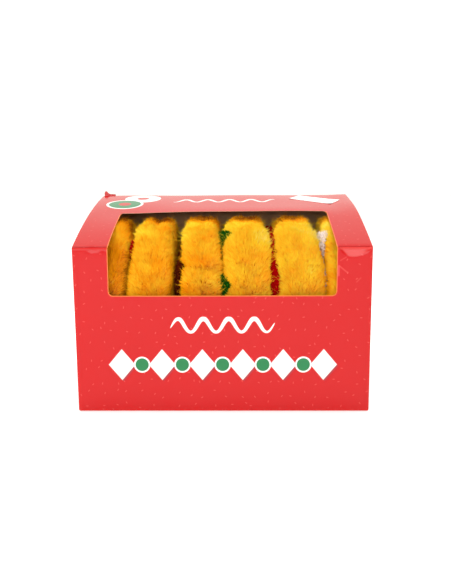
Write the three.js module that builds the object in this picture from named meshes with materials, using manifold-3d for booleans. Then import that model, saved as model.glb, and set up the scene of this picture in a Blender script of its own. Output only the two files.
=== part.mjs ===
// A card carton with a cut-out window, packed with plush toy ring doughnuts that stand on edge
// in a row. Each doughnut wears a scalloped plush icing on its left face.
// Millimetres, +Z up. The window looks towards -Y, and the origin is the middle of the base.

import * as THREE from 'three';
import { mergeVertices } from 'three/addons/utils/BufferGeometryUtils.js';
import Module from 'manifold-3d';

const wasm = await Module();
wasm.setup();

// Carton: an upright front, a taller back and a bowed lid that slopes down to the front.
const CARTON_WIDTH = 203;
const CARTON_DEPTH = 131;
const FRONT_HEIGHT = 115.5;
const BACK_HEIGHT = 146.5;
const LID_BOW = 4;
const LID_STEPS = 12;
const CARD = 0.8;
const CARD_COLOUR = 0xd8282f;

// Window: it starts above the sill on the front and runs over the fold into the lid.
const WINDOW_WIDTH = 156;
const WINDOW_SILL = 82.5;
const WINDOW_REACH = 66.8;
const WINDOW_CORNER = 3;
const CUT_MARGIN = 5;

// A corner of the back panel stands up past the lid on the left.
const EAR_WIDTH = 10;
const EAR_RISE = 3.4;
const EAR_ROOT = 2;

// Doughnuts: flattened rings, soft enough to be squeezed to different widths in the row.
const ROW_WIDTHS = [34.4, 32.5, 33.0, 33.7, 35.1, 32.3];
const RING_DIAMETER = 129;
const RING_HEIGHT = 131;
const HOLE_DIAMETER = 28;
const SECTION_POWER = 2.7;
const SEAM_DEPTH = 1.2;
const SEAM_SPREAD = THREE.MathUtils.degToRad(9);
const PUFF = 0.05;
const PUFF_WAVES = 5;
const RING_STEPS = 30;
const SECTION_STEPS = 16;
const SECTION_CROWDING = 0.45;
const PLUSH_COLOUR = 0xf2ae1c;
const REST_GAP = 0.3;
const ROW_GAP = 0.8;

// Icing: a padded skin over the left face, with uneven round lobes along its outer edge.
const ICING_THICKNESSES = [1.8, 1.8, 4.1, 2.7, 3.6, 2.2];
const ICING_GAP = 1.2;
const ICING_EDGE_SHARE = 0.35;
const ICING_LOBES = 9;
const ICING_STEPS = ICING_LOBES * 6;
const ICING_TOP_ROWS = 5;
const ICING_UNDER_ROWS = 6;
const ICING_HOLE_ANGLE = THREE.MathUtils.degToRad(232);
const ICING_RIM_ANGLE = THREE.MathUtils.degToRad(172);
const ICING_REACHES = [30, 30, 34, 40, 36, 44].map(THREE.MathUtils.degToRad);
const ICING_LOBE_POWER = 1.5;
const ICING_UNEVEN = 0.25;
const ICING_UNEVEN_WAVES = 4;
const ICING_COLOURS = [0xf3e6e2, 0xb01218, 0x43180c, 0x1f6b2c, 0xb01218, 0xf3e6e2];
const ICING_TURNS = [40, 46, 30, 20, 24, 57].map(THREE.MathUtils.degToRad);

const TURN = 2 * Math.PI;
const ACROSS = new THREE.Vector3(1, 0, 0);
const BACKWARD = new THREE.Vector3(0, 1, 0);
const FORWARD = new THREE.Vector3(0, -1, 0);
const UPWARD = new THREE.Vector3(0, 0, 1);

// Card and plush are both dull to the eye here, the card a little smoother.
function finish(color, roughness) {
  return new THREE.MeshStandardMaterial({ color, roughness, metalness: 0 });
}

function toSolid(geometry) {
  const bare = geometry.clone();
  bare.deleteAttribute('normal');
  bare.deleteAttribute('uv');
  const merged = mergeVertices(bare, 1e-4);
  return new wasm.Manifold(new wasm.Mesh({
    numProp: 3,
    vertProperties: new Float32Array(merged.attributes.position.array),
    triVerts: new Uint32Array(merged.index.array),
  }));
}

function toGeometry(solid) {
  const mesh = solid.getMesh();
  const geometry = new THREE.BufferGeometry();
  geometry.setAttribute('position', new THREE.BufferAttribute(mesh.vertProperties, mesh.numProp));
  geometry.setIndex(new THREE.BufferAttribute(mesh.triVerts, 1));
  geometry.computeVertexNormals();
  return geometry;
}

// Extrudes a flat shape whose own x, y and depth run along the three given directions.
function extrude(shape, depth, directions, start) {
  const geometry = new THREE.ExtrudeGeometry(shape, { depth, bevelEnabled: false, curveSegments: LID_STEPS });
  geometry.applyMatrix4(new THREE.Matrix4().makeBasis(...directions));
  return toSolid(geometry.translate(start.x, start.y, start.z));
}

// The lid's circle in the side view, through the tops of the front and back and bowed above them.
function lidCircle() {
  const front = new THREE.Vector2(-CARTON_DEPTH / 2, FRONT_HEIGHT);
  const back = new THREE.Vector2(CARTON_DEPTH / 2, BACK_HEIGHT);
  const chord = back.clone().sub(front);
  const radius = (chord.lengthSq() / 4 + LID_BOW ** 2) / (2 * LID_BOW);
  const up = new THREE.Vector2(-chord.y, chord.x).normalize();
  const centre = front.clone().add(back).divideScalar(2).addScaledVector(up, LID_BOW - radius);
  return { centre, radius };
}

// The carton's outline in the side view, or the outline of its hollow with an inset of the card.
function sideOutline(inset) {
  const { centre, radius } = lidCircle();
  const half = CARTON_DEPTH / 2 - inset;
  const angleAt = (y) => Math.acos((y - centre.x) / (radius - inset));
  const outline = new THREE.Shape();
  outline.moveTo(-half, inset);
  outline.lineTo(half, inset);
  outline.absarc(centre.x, centre.y, radius - inset, angleAt(half), angleAt(-half), false);
  outline.closePath();
  return outline;
}

// One leaf of the window: square where it meets the fold, with round corners at its end.
function windowLeaf(open, end) {
  const half = WINDOW_WIDTH / 2;
  const corner = WINDOW_CORNER * Math.sign(open - end);
  const leaf = new THREE.Shape();
  leaf.moveTo(-half, open);
  leaf.lineTo(-half, end + corner);
  leaf.quadraticCurveTo(-half, end, -half + WINDOW_CORNER, end);
  leaf.lineTo(half - WINDOW_CORNER, end);
  leaf.quadraticCurveTo(half, end, half, end + corner);
  leaf.lineTo(half, open);
  leaf.closePath();
  return leaf;
}

function windowCut() {
  const front = -CARTON_DEPTH / 2;
  const frontCut = extrude(
    windowLeaf(FRONT_HEIGHT + CUT_MARGIN, WINDOW_SILL),
    2 * CUT_MARGIN,
    [ACROSS, UPWARD, FORWARD],
    new THREE.Vector3(0, front + CUT_MARGIN, 0),
  );
  const lidCut = extrude(
    windowLeaf(front - CUT_MARGIN, front + WINDOW_REACH),
    BACK_HEIGHT - FRONT_HEIGHT + CUT_MARGIN,
    [ACROSS, BACKWARD, UPWARD],
    new THREE.Vector3(0, 0, FRONT_HEIGHT - CUT_MARGIN),
  );
  return frontCut.add(lidCut);
}

function backEar() {
  const left = -CARTON_WIDTH / 2;
  const ear = new THREE.Shape();
  ear.moveTo(left, BACK_HEIGHT - EAR_ROOT);
  ear.lineTo(left + EAR_WIDTH, BACK_HEIGHT - EAR_ROOT);
  ear.lineTo(left + CARD, BACK_HEIGHT + EAR_RISE);
  ear.lineTo(left, BACK_HEIGHT + EAR_RISE);
  ear.closePath();
  return extrude(ear, CARD, [ACROSS, UPWARD, FORWARD], new THREE.Vector3(0, CARTON_DEPTH / 2, 0));
}

function cartonGeometry() {
  const across = [BACKWARD, UPWARD, ACROSS];
  const start = (width) => new THREE.Vector3(-width / 2, 0, 0);
  const innerWidth = CARTON_WIDTH - 2 * CARD;
  const outside = extrude(sideOutline(0), CARTON_WIDTH, across, start(CARTON_WIDTH));
  const hollow = extrude(sideOutline(CARD), innerWidth, across, start(innerWidth));
  return toGeometry(outside.subtract(hollow).add(backEar()).subtract(windowCut()));
}

// Sizes of one doughnut, squeezed to its share of the row.
function ringSizes(index) {
  const icing = ICING_THICKNESSES[index];
  return {
    index,
    icing,
    halfWidth: (ROW_WIDTHS[index] - ROW_GAP - ICING_GAP - icing) / 2,
    midRadius: (RING_DIAMETER + HOLE_DIAMETER) / 4,
    halfSpan: (RING_DIAMETER - HOLE_DIAMETER) / 4,
  };
}

function signedPower(value, power) {
  return Math.sign(value) * Math.abs(value) ** power;
}

// A point on the plush, lifted off it along the section's normal. The angle round the section is
// 0 on the right face, a quarter turn at the rim, half a turn on the left face, then the hole.
function plushPoint(ring, around, section, lift) {
  const width = ring.halfWidth * (1 - PUFF * (0.5 + 0.5 * Math.sin(PUFF_WAVES * around + 2 * ring.index)));
  const across = signedPower(Math.cos(section), 2 / SECTION_POWER);
  const outward = signedPower(Math.sin(section), 2 / SECTION_POWER);
  const seam = SEAM_DEPTH * Math.exp(-(((section - TURN / 4) / SEAM_SPREAD) ** 2));
  const normal = new THREE.Vector2(
    signedPower(across, SECTION_POWER - 1) / width,
    signedPower(outward, SECTION_POWER - 1) / ring.halfSpan,
  ).normalize();
  const radius = ring.midRadius + ring.halfSpan * outward - seam + lift * normal.y;
  const rise = (RING_HEIGHT / RING_DIAMETER) * radius;
  return [width * across + lift * normal.x, -radius * Math.cos(around), rise * Math.sin(around)];
}

// Joins closed loops of points, the last loop to the first, into one closed body.
function ringOfLoops(loops) {
  const rows = loops[0].length;
  const index = [];
  loops.forEach((_, i) => {
    const here = i * rows;
    const next = ((i + 1) % loops.length) * rows;
    for (let j = 0; j < rows; j += 1) {
      const k = (j + 1) % rows;
      index.push(here + j, next + j, next + k, here + j, next + k, here + k);
    }
  });
  const geometry = new THREE.BufferGeometry();
  geometry.setAttribute('position', new THREE.Float32BufferAttribute(loops.flat(2), 3));
  geometry.setIndex(index);
  geometry.computeVertexNormals();
  return geometry;
}

function steps(count, make) {
  return Array.from({ length: count }, (_, i) => make(i));
}

// Section angles crowd together at the rim, where the seam is, and spread out on the faces.
function ringGeometry(ring) {
  return ringOfLoops(steps(RING_STEPS, (i) => steps(SECTION_STEPS, (j) => {
    const even = (TURN * j) / SECTION_STEPS;
    const section = even + (SECTION_CROWDING / 2) * Math.sin(2 * even);
    return plushPoint(ring, (TURN * i) / RING_STEPS, section, 0);
  })));
}

// The section angle of the icing's outer edge, which reaches towards the rim in lobes. The angle
// past the ring's own turn is 0 in the middle of one lobe.
function icingEdge(ring, past) {
  const lobe = Math.abs(Math.cos((ICING_LOBES / 2) * past)) ** ICING_LOBE_POWER;
  const reach = ICING_REACHES[ring.index] * (1 + ICING_UNEVEN * Math.cos(ICING_UNEVEN_WAVES * past));
  return ICING_RIM_ANGLE - reach * lobe;
}

// One section of the icing: over its top from the edge to the hole, and back along the plush.
function icingLoop(ring, past) {
  const around = ICING_TURNS[ring.index] + past;
  const rim = icingEdge(ring, past);
  const sectionAt = (share) => rim + (ICING_HOLE_ANGLE - rim) * share;
  const top = steps(ICING_TOP_ROWS, (j) => {
    const share = j / (ICING_TOP_ROWS - 1);
    const crown = ICING_EDGE_SHARE + (1 - ICING_EDGE_SHARE) * (1 - (2 * share - 1) ** 4);
    return plushPoint(ring, around, sectionAt(share), ICING_GAP + ring.icing * crown);
  });
  const under = steps(ICING_UNDER_ROWS, (j) => (
    plushPoint(ring, around, sectionAt(1 - j / (ICING_UNDER_ROWS - 1)), ICING_GAP)
  ));
  return [...top, ...under];
}

function icingGeometry(ring) {
  return ringOfLoops(steps(ICING_STEPS, (i) => icingLoop(ring, (TURN * i) / ICING_STEPS)));
}

function named(name, geometry, material) {
  const mesh = new THREE.Mesh(geometry, material);
  mesh.name = name;
  return mesh;
}

function doughnut(index, left) {
  const ring = ringSizes(index);
  const group = new THREE.Group();
  group.position.set(
    left + ROW_WIDTHS[index] - ROW_GAP / 2 - ring.halfWidth,
    0,
    CARD + REST_GAP + RING_HEIGHT / 2,
  );
  group.add(named(`doughnut_${index + 1}`, ringGeometry(ring), finish(PLUSH_COLOUR, 0.95)));
  group.add(named(`icing_${index + 1}`, icingGeometry(ring), finish(ICING_COLOURS[index], 0.95)));
  return group;
}

const box = new THREE.Group();
box.add(named('carton', cartonGeometry(), finish(CARD_COLOUR, 0.4)));
let left = -ROW_WIDTHS.reduce((sum, width) => sum + width, 0) / 2;
ROW_WIDTHS.forEach((width, index) => {
  box.add(doughnut(index, left));
  left += width;
});

export default box;
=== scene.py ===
"""A shut carton of red card with a cut window, and six stuffed plush doughnuts standing in it on edge."""

import math

import bmesh
import bpy
import numpy as np
from bpy.props import FloatProperty, FloatVectorProperty, IntProperty, PointerProperty
from mathutils import Matrix, Vector, noise
from mathutils.geometry import delaunay_2d_cdt


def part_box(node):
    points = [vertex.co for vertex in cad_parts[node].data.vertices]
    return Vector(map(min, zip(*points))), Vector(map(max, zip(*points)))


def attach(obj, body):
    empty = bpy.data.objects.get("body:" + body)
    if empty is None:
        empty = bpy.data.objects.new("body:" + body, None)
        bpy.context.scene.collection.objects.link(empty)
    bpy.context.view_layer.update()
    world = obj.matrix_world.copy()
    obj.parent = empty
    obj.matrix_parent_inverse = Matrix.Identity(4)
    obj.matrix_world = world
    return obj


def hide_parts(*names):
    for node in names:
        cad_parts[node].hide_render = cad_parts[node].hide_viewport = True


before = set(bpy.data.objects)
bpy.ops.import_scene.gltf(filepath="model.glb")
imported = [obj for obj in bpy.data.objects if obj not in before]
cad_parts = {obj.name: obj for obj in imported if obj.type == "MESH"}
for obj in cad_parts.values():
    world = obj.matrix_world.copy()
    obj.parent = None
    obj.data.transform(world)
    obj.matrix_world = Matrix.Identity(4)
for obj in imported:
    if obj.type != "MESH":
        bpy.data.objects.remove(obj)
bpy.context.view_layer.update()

bl_info = {
    "name": "Box of plush doughnuts",
    "version": (1, 0, 0),
    "blender": (4, 5, 0),
    "location": "View3D > Sidebar > Doughnuts",
    "description": "Builds a window carton of six plush toy doughnuts around its CAD frame",
    "category": "Object",
}

MM = 0.001
ROOT = "root"
PHOTO_LONG_SIDE = 584
SENSOR = 36.0

# What the frame gives: the carton's plan, and the doughnuts' names in order.
CARTON_LOW, CARTON_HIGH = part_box("carton")
CARTON_WIDTH = (CARTON_HIGH.x - CARTON_LOW.x) / MM
CARTON_DEPTH = (CARTON_HIGH.y - CARTON_LOW.y) / MM
RING_NAMES = sorted(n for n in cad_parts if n.startswith("doughnut_"))

# The icing of each doughnut from the left: its material slot, and the turn of its lobes in degrees.
ICING_SLOTS = ("icing_white", "icing_red", "icing_brown", "icing_green", "icing_red", "icing_white")
ICING_TURNS = (40, 53, 30, 20, 24, 63)


def srgb(red, green, blue):
    """A screen colour, 0 to 255, as the linear numbers that shaders take."""
    levels = (red / 255, green / 255, blue / 255)
    return tuple(v / 12.92 if v <= 0.04045 else ((v + 0.055) / 1.055) ** 2.4 for v in levels)


def shaded(colour, share):
    """A darker shade of a colour."""
    return tuple(c * share for c in colour)


def length_prop(name, description, millimetres):
    """A length that a user may change, kept in metres."""
    return FloatProperty(name=name, description=description, default=millimetres * MM, unit="LENGTH")


def number_prop(name, description, value):
    """A plain number that a user may change."""
    return FloatProperty(name=name, description=description, default=value)


def angle_prop(name, description, degrees):
    """An angle that a user may change."""
    return FloatProperty(name=name, description=description, default=math.radians(degrees), subtype="ANGLE")


def colour_prop(name, description, colour):
    """A colour that a user may change."""
    return FloatVectorProperty(
        name=name, description=description, default=colour, subtype="COLOR", min=0, max=1)


class CartonSettings(bpy.types.PropertyGroup):
    """Sizes and colours of the card carton and the sticker on its lid."""

    front_height: length_prop("Front height", "Height of the front panel", 115.5)
    back_height: length_prop("Back height", "Height of the back panel", 146.5)
    lid_bow: length_prop("Lid bow", "Rise of the lid above a straight line", 4.0)
    card: length_prop("Card", "Thickness of the card", 0.8)
    window_width: length_prop("Window width", "Width of the cut window", 156.0)
    window_sill: length_prop("Window sill", "Height of the window's lower edge", 82.5)
    window_reach: length_prop("Window reach", "How far back the window runs over the lid", 66.8)
    window_corner: length_prop("Window corner", "Radius of the window's corners", 3.0)
    ear_width: length_prop("Ear width", "Width of the flap that stands up at the back left", 9.6)
    ear_rise: length_prop("Ear rise", "Height of that flap above the back panel", 4.2)
    red: colour_prop("Red", "Printed red of the card", srgb(198, 8, 11))
    # This pale red is also the painted highlight on the dent, the creases and the fold.
    speck: colour_prop("Speck", "Pale specks printed on the red", srgb(250, 120, 112))
    white: colour_prop("White", "White of the printed shapes", srgb(250, 247, 243))
    shade: colour_prop("Shade", "Drop shade beside the white shapes", srgb(150, 52, 62))
    green: colour_prop("Green", "Green of the printed rings and dots", srgb(34, 124, 72))
    board: colour_prop("Board", "Unprinted inner face of the card", srgb(242, 194, 146))
    cut: colour_prop("Cut edge", "Bare edge where the card is cut", srgb(255, 148, 62))
    sticker: colour_prop("Sticker", "Blank sticker on the lid", srgb(252, 250, 248))


class PlushSettings(bpy.types.PropertyGroup):
    """Sizes and colours of the doughnuts, their icing and their pile."""

    ring_diameter: length_prop("Ring diameter", "Doughnut measured over its rim, front to back", 129.0)
    ring_height: length_prop("Ring height", "Height of a doughnut that stands on its rim", 131.0)
    hole_diameter: length_prop("Hole diameter", "Hole through a doughnut", 28.0)
    pile_length: length_prop("Pile length", "Length of a tuft on the doughnuts", 4.6)
    icing_pile: length_prop("Icing pile", "Length of a tuft on the icing", 1.8)
    tufts: number_prop("Tufts", "Tufts on a square millimetre that shows", 3.2)
    seed: IntProperty(name="Seed", description="Seed of the pile's random draws", default=7)
    fill: number_prop("Fill", "How tightly the doughnuts are stuffed", 0.85)
    cream: colour_prop("Cream", "Palest tips of the yellow pile", srgb(255, 238, 150))
    tip: colour_prop("Tip", "Bright tips of the yellow pile", srgb(255, 228, 56))
    golden: colour_prop("Golden", "Deeper yellow of some tufts", srgb(255, 172, 4))
    # Painted shade: this umber darkens the pile along the doughnuts' tops and in the gaps between them.
    umber: colour_prop("Umber", "Brown pile on top of the doughnuts and between them", srgb(142, 76, 6))
    # The darker foot of the pile is partly painted shade among the tufts.
    base: colour_prop("Base", "Foot of the yellow pile", srgb(240, 150, 8))
    backing: colour_prop("Backing", "Cloth under the yellow pile", srgb(226, 146, 14))
    icing_white: colour_prop("White icing", "Pale icing plush", srgb(255, 244, 239))
    icing_red: colour_prop("Red icing", "Red icing plush", srgb(196, 8, 10))
    icing_brown: colour_prop("Brown icing", "Brown icing plush", srgb(116, 50, 6))
    icing_green: colour_prop("Green icing", "Green icing plush", srgb(40, 112, 20))


class StageSettings(bpy.types.PropertyGroup):
    """The camera, the lights and the floor."""

    place: FloatVectorProperty(
        name="Camera", description="Where the camera stands", subtype="TRANSLATION", unit="LENGTH",
        default=(0.008854, -0.568291, 0.168414))
    yaw: angle_prop("Yaw", "Turn of the view to the left", 0.7186)
    pitch: angle_prop("Pitch", "Tilt of the view down", 9.4104)
    roll: angle_prop("Roll", "Roll of the view", -0.2432)
    focal: number_prop("Focal length", "Focal length in the photo's pixels", 745.06)
    key: number_prop("Key light", "Power of the soft light above the camera", 13.1)
    back_sky: number_prop("Back sky", "Brightness of the backdrop", 1.1)
    front_sky: number_prop("Front sky", "Brightness of the room behind the camera", 0.21)
    top: number_prop("Top light", "Power of the soft light overhead", 11.8)
    floor: colour_prop("Floor", "Colour of the floor", (0.92, 0.92, 0.92))
    floor_glow: number_prop("Floor glow", "Light of the floor's own, as a lit table has", 0.42)


# Node building

class Field:
    """A number that changes over a surface or a point cloud. Python's operators add Math nodes to it."""

    def __init__(self, graph, socket):
        self.graph = graph
        self.socket = socket

    def math(self, operation, *others, clamp=False):
        settings = {"operation": operation, "use_clamp": clamp}
        values = {str(i): v for i, v in enumerate((self, *others))}
        return self.graph.field("ShaderNodeMath", settings, values)

    def __add__(self, other):
        return self.math("ADD", other)

    __radd__ = __add__

    def __sub__(self, other):
        return self.math("SUBTRACT", other)

    def __rsub__(self, other):
        values = {"0": other, "1": self}
        return self.graph.field("ShaderNodeMath", {"operation": "SUBTRACT"}, values)

    def __mul__(self, other):
        return self.math("MULTIPLY", other)

    __rmul__ = __mul__

    def __truediv__(self, other):
        return self.math("DIVIDE", other)

    def __pow__(self, other):
        return self.math("POWER", other)

    def __abs__(self):
        return self.math("ABSOLUTE")

    def floor(self):
        return self.math("FLOOR")

    def sin(self):
        return self.math("SINE")

    def cos(self):
        return self.math("COSINE")

    def sqrt(self):
        return self.math("SQRT")

    def least(self, other):
        return self.math("MINIMUM", other)

    def most(self, other):
        return self.math("MAXIMUM", other)

    def clamped(self):
        return self.math("ADD", 0.0, clamp=True)

    def below(self, limit, soft):
        """1 where this is below the limit, 0 above it, with a soft edge of that width."""
        return ((limit - self) / soft + 0.5).clamped()


class Graph:
    """A node tree that is filled by calls: nodes, their settings and what feeds their sockets."""

    def __init__(self, tree):
        self.tree = tree

    def node(self, kind, settings=None, sockets=None):
        node = self.tree.nodes.new(kind)
        for key, value in (settings or {}).items():
            setattr(node, key, value)
        for key, value in (sockets or {}).items():
            self.feed(node, key, value)
        return node

    def feed(self, node, key, value):
        """Sets or links the socket of that identifier, name or number."""
        if key.isdigit():
            target = node.inputs[int(key)]
        else:
            named = [s for s in node.inputs if key in (s.identifier, s.name)]
            named.sort(key=lambda s: s.identifier != key)
            target = named[0]
        if isinstance(value, Field):
            value = value.socket
        if isinstance(value, bpy.types.NodeSocket):
            self.tree.links.new(value, target)
        elif target.type == "RGBA" and len(value) == 3:
            target.default_value = (*value, 1.0)
        else:
            target.default_value = value

    def field(self, kind, settings=None, sockets=None, output=0):
        """A node whose output is a number."""
        return Field(self, self.node(kind, settings, sockets).outputs[output])

    def parts(self, socket):
        """The three numbers of a vector."""
        split = self.node("ShaderNodeSeparateXYZ", None, {"Vector": socket})
        return [Field(self, s) for s in split.outputs]

    def vector(self, x, y, z):
        return self.node("ShaderNodeCombineXYZ", None, {"X": x, "Y": y, "Z": z}).outputs[0]

    def vector_math(self, operation, first, second):
        return self.node(
            "ShaderNodeVectorMath", {"operation": operation}, {"0": first, "1": second}).outputs[0]

    def scaled(self, vector, amount):
        return self.node(
            "ShaderNodeVectorMath", {"operation": "SCALE"}, {"0": vector, "Scale": amount}).outputs[0]

    def mix(self, factor, first, second):
        """A colour between two others."""
        node = self.node("ShaderNodeMix", {"data_type": "RGBA"}, {
            "Factor_Float": factor, "A_Color": first, "B_Color": second})
        return next(s for s in node.outputs if s.identifier == "Result_Color")


class Finish(Graph):
    """A material with one Principled shader."""

    def __init__(self, name, **constants):
        self.material = bpy.data.materials.new(name)
        self.material.use_nodes = True
        super().__init__(self.material.node_tree)
        self.shader = next(n for n in self.tree.nodes if n.type == "BSDF_PRINCIPLED")
        for key, value in constants.items():
            self.feed(self.shader, key.replace("_", " ").title().replace("Ior", "IOR"), value)

    def feed_shader(self, key, value):
        self.feed(self.shader, key, value)

    def attribute(self, name):
        return self.field("ShaderNodeAttribute", {"attribute_name": name}, output=2)

    def object_place(self):
        return self.node("ShaderNodeTexCoord").outputs["Object"]

    def noise(self, vector, scale, detail=2.0, roughness=0.5):
        return self.field("ShaderNodeTexNoise", None, {
            "Vector": vector, "Scale": scale, "Detail": detail, "Roughness": roughness})

    def bump(self, height, strength, distance):
        node = self.node("ShaderNodeBump", None, {
            "Height": height, "Strength": strength, "Distance": distance})
        self.feed_shader("Normal", node.outputs["Normal"])


# Meshes

def new_piece(name, mesh, material=None):
    """A shown object at the origin."""
    piece = bpy.data.objects.new(name, mesh)
    bpy.context.scene.collection.objects.link(piece)
    if material is not None:
        mesh.materials.append(material)
    return piece


def settle(piece):
    """Makes what the modifiers give the piece's own mesh, and removes them."""
    graph = bpy.context.evaluated_depsgraph_get()
    graph.update()
    made = bpy.data.meshes.new_from_object(piece.evaluated_get(graph), depsgraph=graph)
    old = piece.data
    piece.modifiers.clear()
    piece.data = made
    made.name = old.name
    bpy.data.meshes.remove(old)
    return piece


def point_places(mesh):
    """The mesh's points as rows of an array, in metres."""
    places = np.zeros(len(mesh.vertices) * 3)
    mesh.vertices.foreach_get("co", places)
    return places.reshape(-1, 3)


def store(mesh, name, kind, values):
    """A value or vector for each point of a mesh."""
    layer = mesh.attributes.new(name, kind, "POINT")
    field = "value" if kind == "FLOAT" else "vector"
    layer.data.foreach_set(field, np.asarray(values, np.float32).ravel())


def store_print(mesh, prints, wear):
    """The place of each point on the printed sheet, given in millimetres, and how worn it is."""
    corners = np.zeros(len(mesh.loops), np.int32)
    mesh.loops.foreach_get("vertex_index", corners)
    layer = mesh.uv_layers.new(name="Print")
    layer.data.foreach_set("uv", (prints[corners] * MM).astype(np.float32).ravel())
    store(mesh, "wear", "FLOAT", wear)


def face_outward(mesh):
    """Turns the faces of a closed mesh outwards."""
    edit = bmesh.new()
    edit.from_mesh(mesh)
    bmesh.ops.recalc_face_normals(edit, faces=edit.faces)
    edit.to_mesh(mesh)
    edit.free()


def spread(low, high, step):
    """Even places from low to high, about a step apart."""
    return np.linspace(low, high, max(2, round(abs(high - low) / step) + 1))


def smooth_step(value, low, high):
    """0 below low and 1 above high, with a smooth change between."""
    share = np.clip((value - low) / (high - low), 0, 1)
    return share * share * (3 - 2 * share)


def bend_between(start, corner, end, steps):
    """A rounded corner from start to end, both points included."""
    t = np.linspace(0, 1, steps + 1)[:, None]
    return (1 - t) ** 2 * np.array(start) + 2 * t * (1 - t) * np.array(corner) + t ** 2 * np.array(end)


# The carton, in millimetres until it is made a mesh

# Rounding of the folds and of the cut edges.
FOLD_ROUND = 1.7
BACK_ROUND = 2.6
FOOT_ROUND = 2.2
FOLD_STEPS = 7
EDGE_ROUND = 0.9
LID_EDGE_ROUND = 0.25
LID_EDGE_BAND = 0.55

# Spacing of the mesh. Rows are finer beside the window, and columns towards the right, where the dent is.
FRONT_BANDS = (76.0, 92.0)
FRONT_ROWS = (4.0, 2.0, 0.8)
LID_ROWS = 3.0
BACK_ROWS = 5.0
BOTTOM_ROWS = 6.0
END_COLUMNS = (0.0, 0.12, 0.3, 0.55, EDGE_ROUND, 2.0)
FINE_FROM = 76.0
COLUMNS = 3.5
FINE_COLUMNS = 0.8
OUTLINE_STEP = 2.0
CORNER_POINTS = 7
WINDOW_MARGIN = 0.7
WINDOW_OVERLAP = -0.05
MERGE_GAP = 0.01
SLIVER = 0.005

# How soft the change from the front to the lid is, and where the lid stands past the end panels.
FOLD_SOFT = 1.5
OVERHANG_FROM = (5.0, 11.0)

# The end panels.
SIDE_FOLD = 0.3
SIDE_LAP = 0.04
SIDE_STEP = 0.6
SIDE_CELL = 4.0
SIDE_CLEAR = 3.0
SIDE_WEAR = (1.0, 0.5, 0.15)
SIDE_BELLY = 0.5
SIDE_UV_SHIFT = 400.0
BORDER_BEND = 0.15
TUCK_DEPTHS = (1.0, 16.0)
TUCK_HEIGHTS = (116.0, 121.0)
WEAR_SPREAD = 0.5

# Two places under the front fold that are pressed in.
DENT_SLOPE = 0.18
DENT_EDGE = 0.7
DENT_FADE = 5.0
DENT = {"middle": 88.3, "left": 8.6, "right": 12.4, "drop": 6.3}
NICK = {"middle": -87.4, "left": 3.4, "right": 3.4, "drop": 3.8}

# Low relief of the card: the front's swell, slow waves, the lid's bow along the window's rear edge,
# the rise of its right edge, and the flare of the end panels.
FRONT_SWELL = 0.7
FRONT_SWELL_FROM = 20.0
FRONT_SWELL_FADE = 4.0
WAVE = 0.14
WAVE_LENGTHS = (15.0, 19.0)
WAVE_SHIFTS = (0.6, 1.1)
REAR_BOW = 1.15
REAR_BOW_MIDDLE = 29.6
REAR_BOW_FALL = 0.000164
REAR_BOW_LEAST = -0.35
REAR_BOW_SPREAD = 20.0
LID_EDGE_FROM = 84.0
RIGHT_LIFT = 1.15
RIGHT_LIFT_BACK = 8.0
RIGHT_LIFT_SPREAD = 36.0
CORNER_LIFT = 0.46
CORNER_LIFT_SPAN = 30.0
LEFT_FLARE = 0.95
RIGHT_FLARE = 0.8
FLARE_POWER = 12

# The card is thinner along the window's rear edge.
REAR_TAPER = 4.0
REAR_THIN = 0.25
REAR_MARGIN = 1.0

# The standing corner of the back flap, from the back panel's upper left corner.
EAR_ROOT = 3.0
EAR_ROOT_START = 1.2
EAR_TIP_START = (0.15, 1.2)
EAR_TIP_ACROSS = 0.9
EAR_TIP_OVER = 1.1
EAR_TIP_END = (3.2, 2.0)
EAR_TIP_STEPS = 8
EAR_SHOULDER = (5.0, 1.0)
EAR_EDGE = 0.9
EAR_LEAN = 0.16
EAR_LEAN_POWER = 1.5
EAR_INSET = 0.85
EAR_THICK = 0.75
EAR_WEAR = 0.35
EAR_UV_SHIFT = 1200.0

# Material slots of the card: its printed face, its inner face and its cut edges.
PRINTED, BARE, CUT = range(3)


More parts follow.
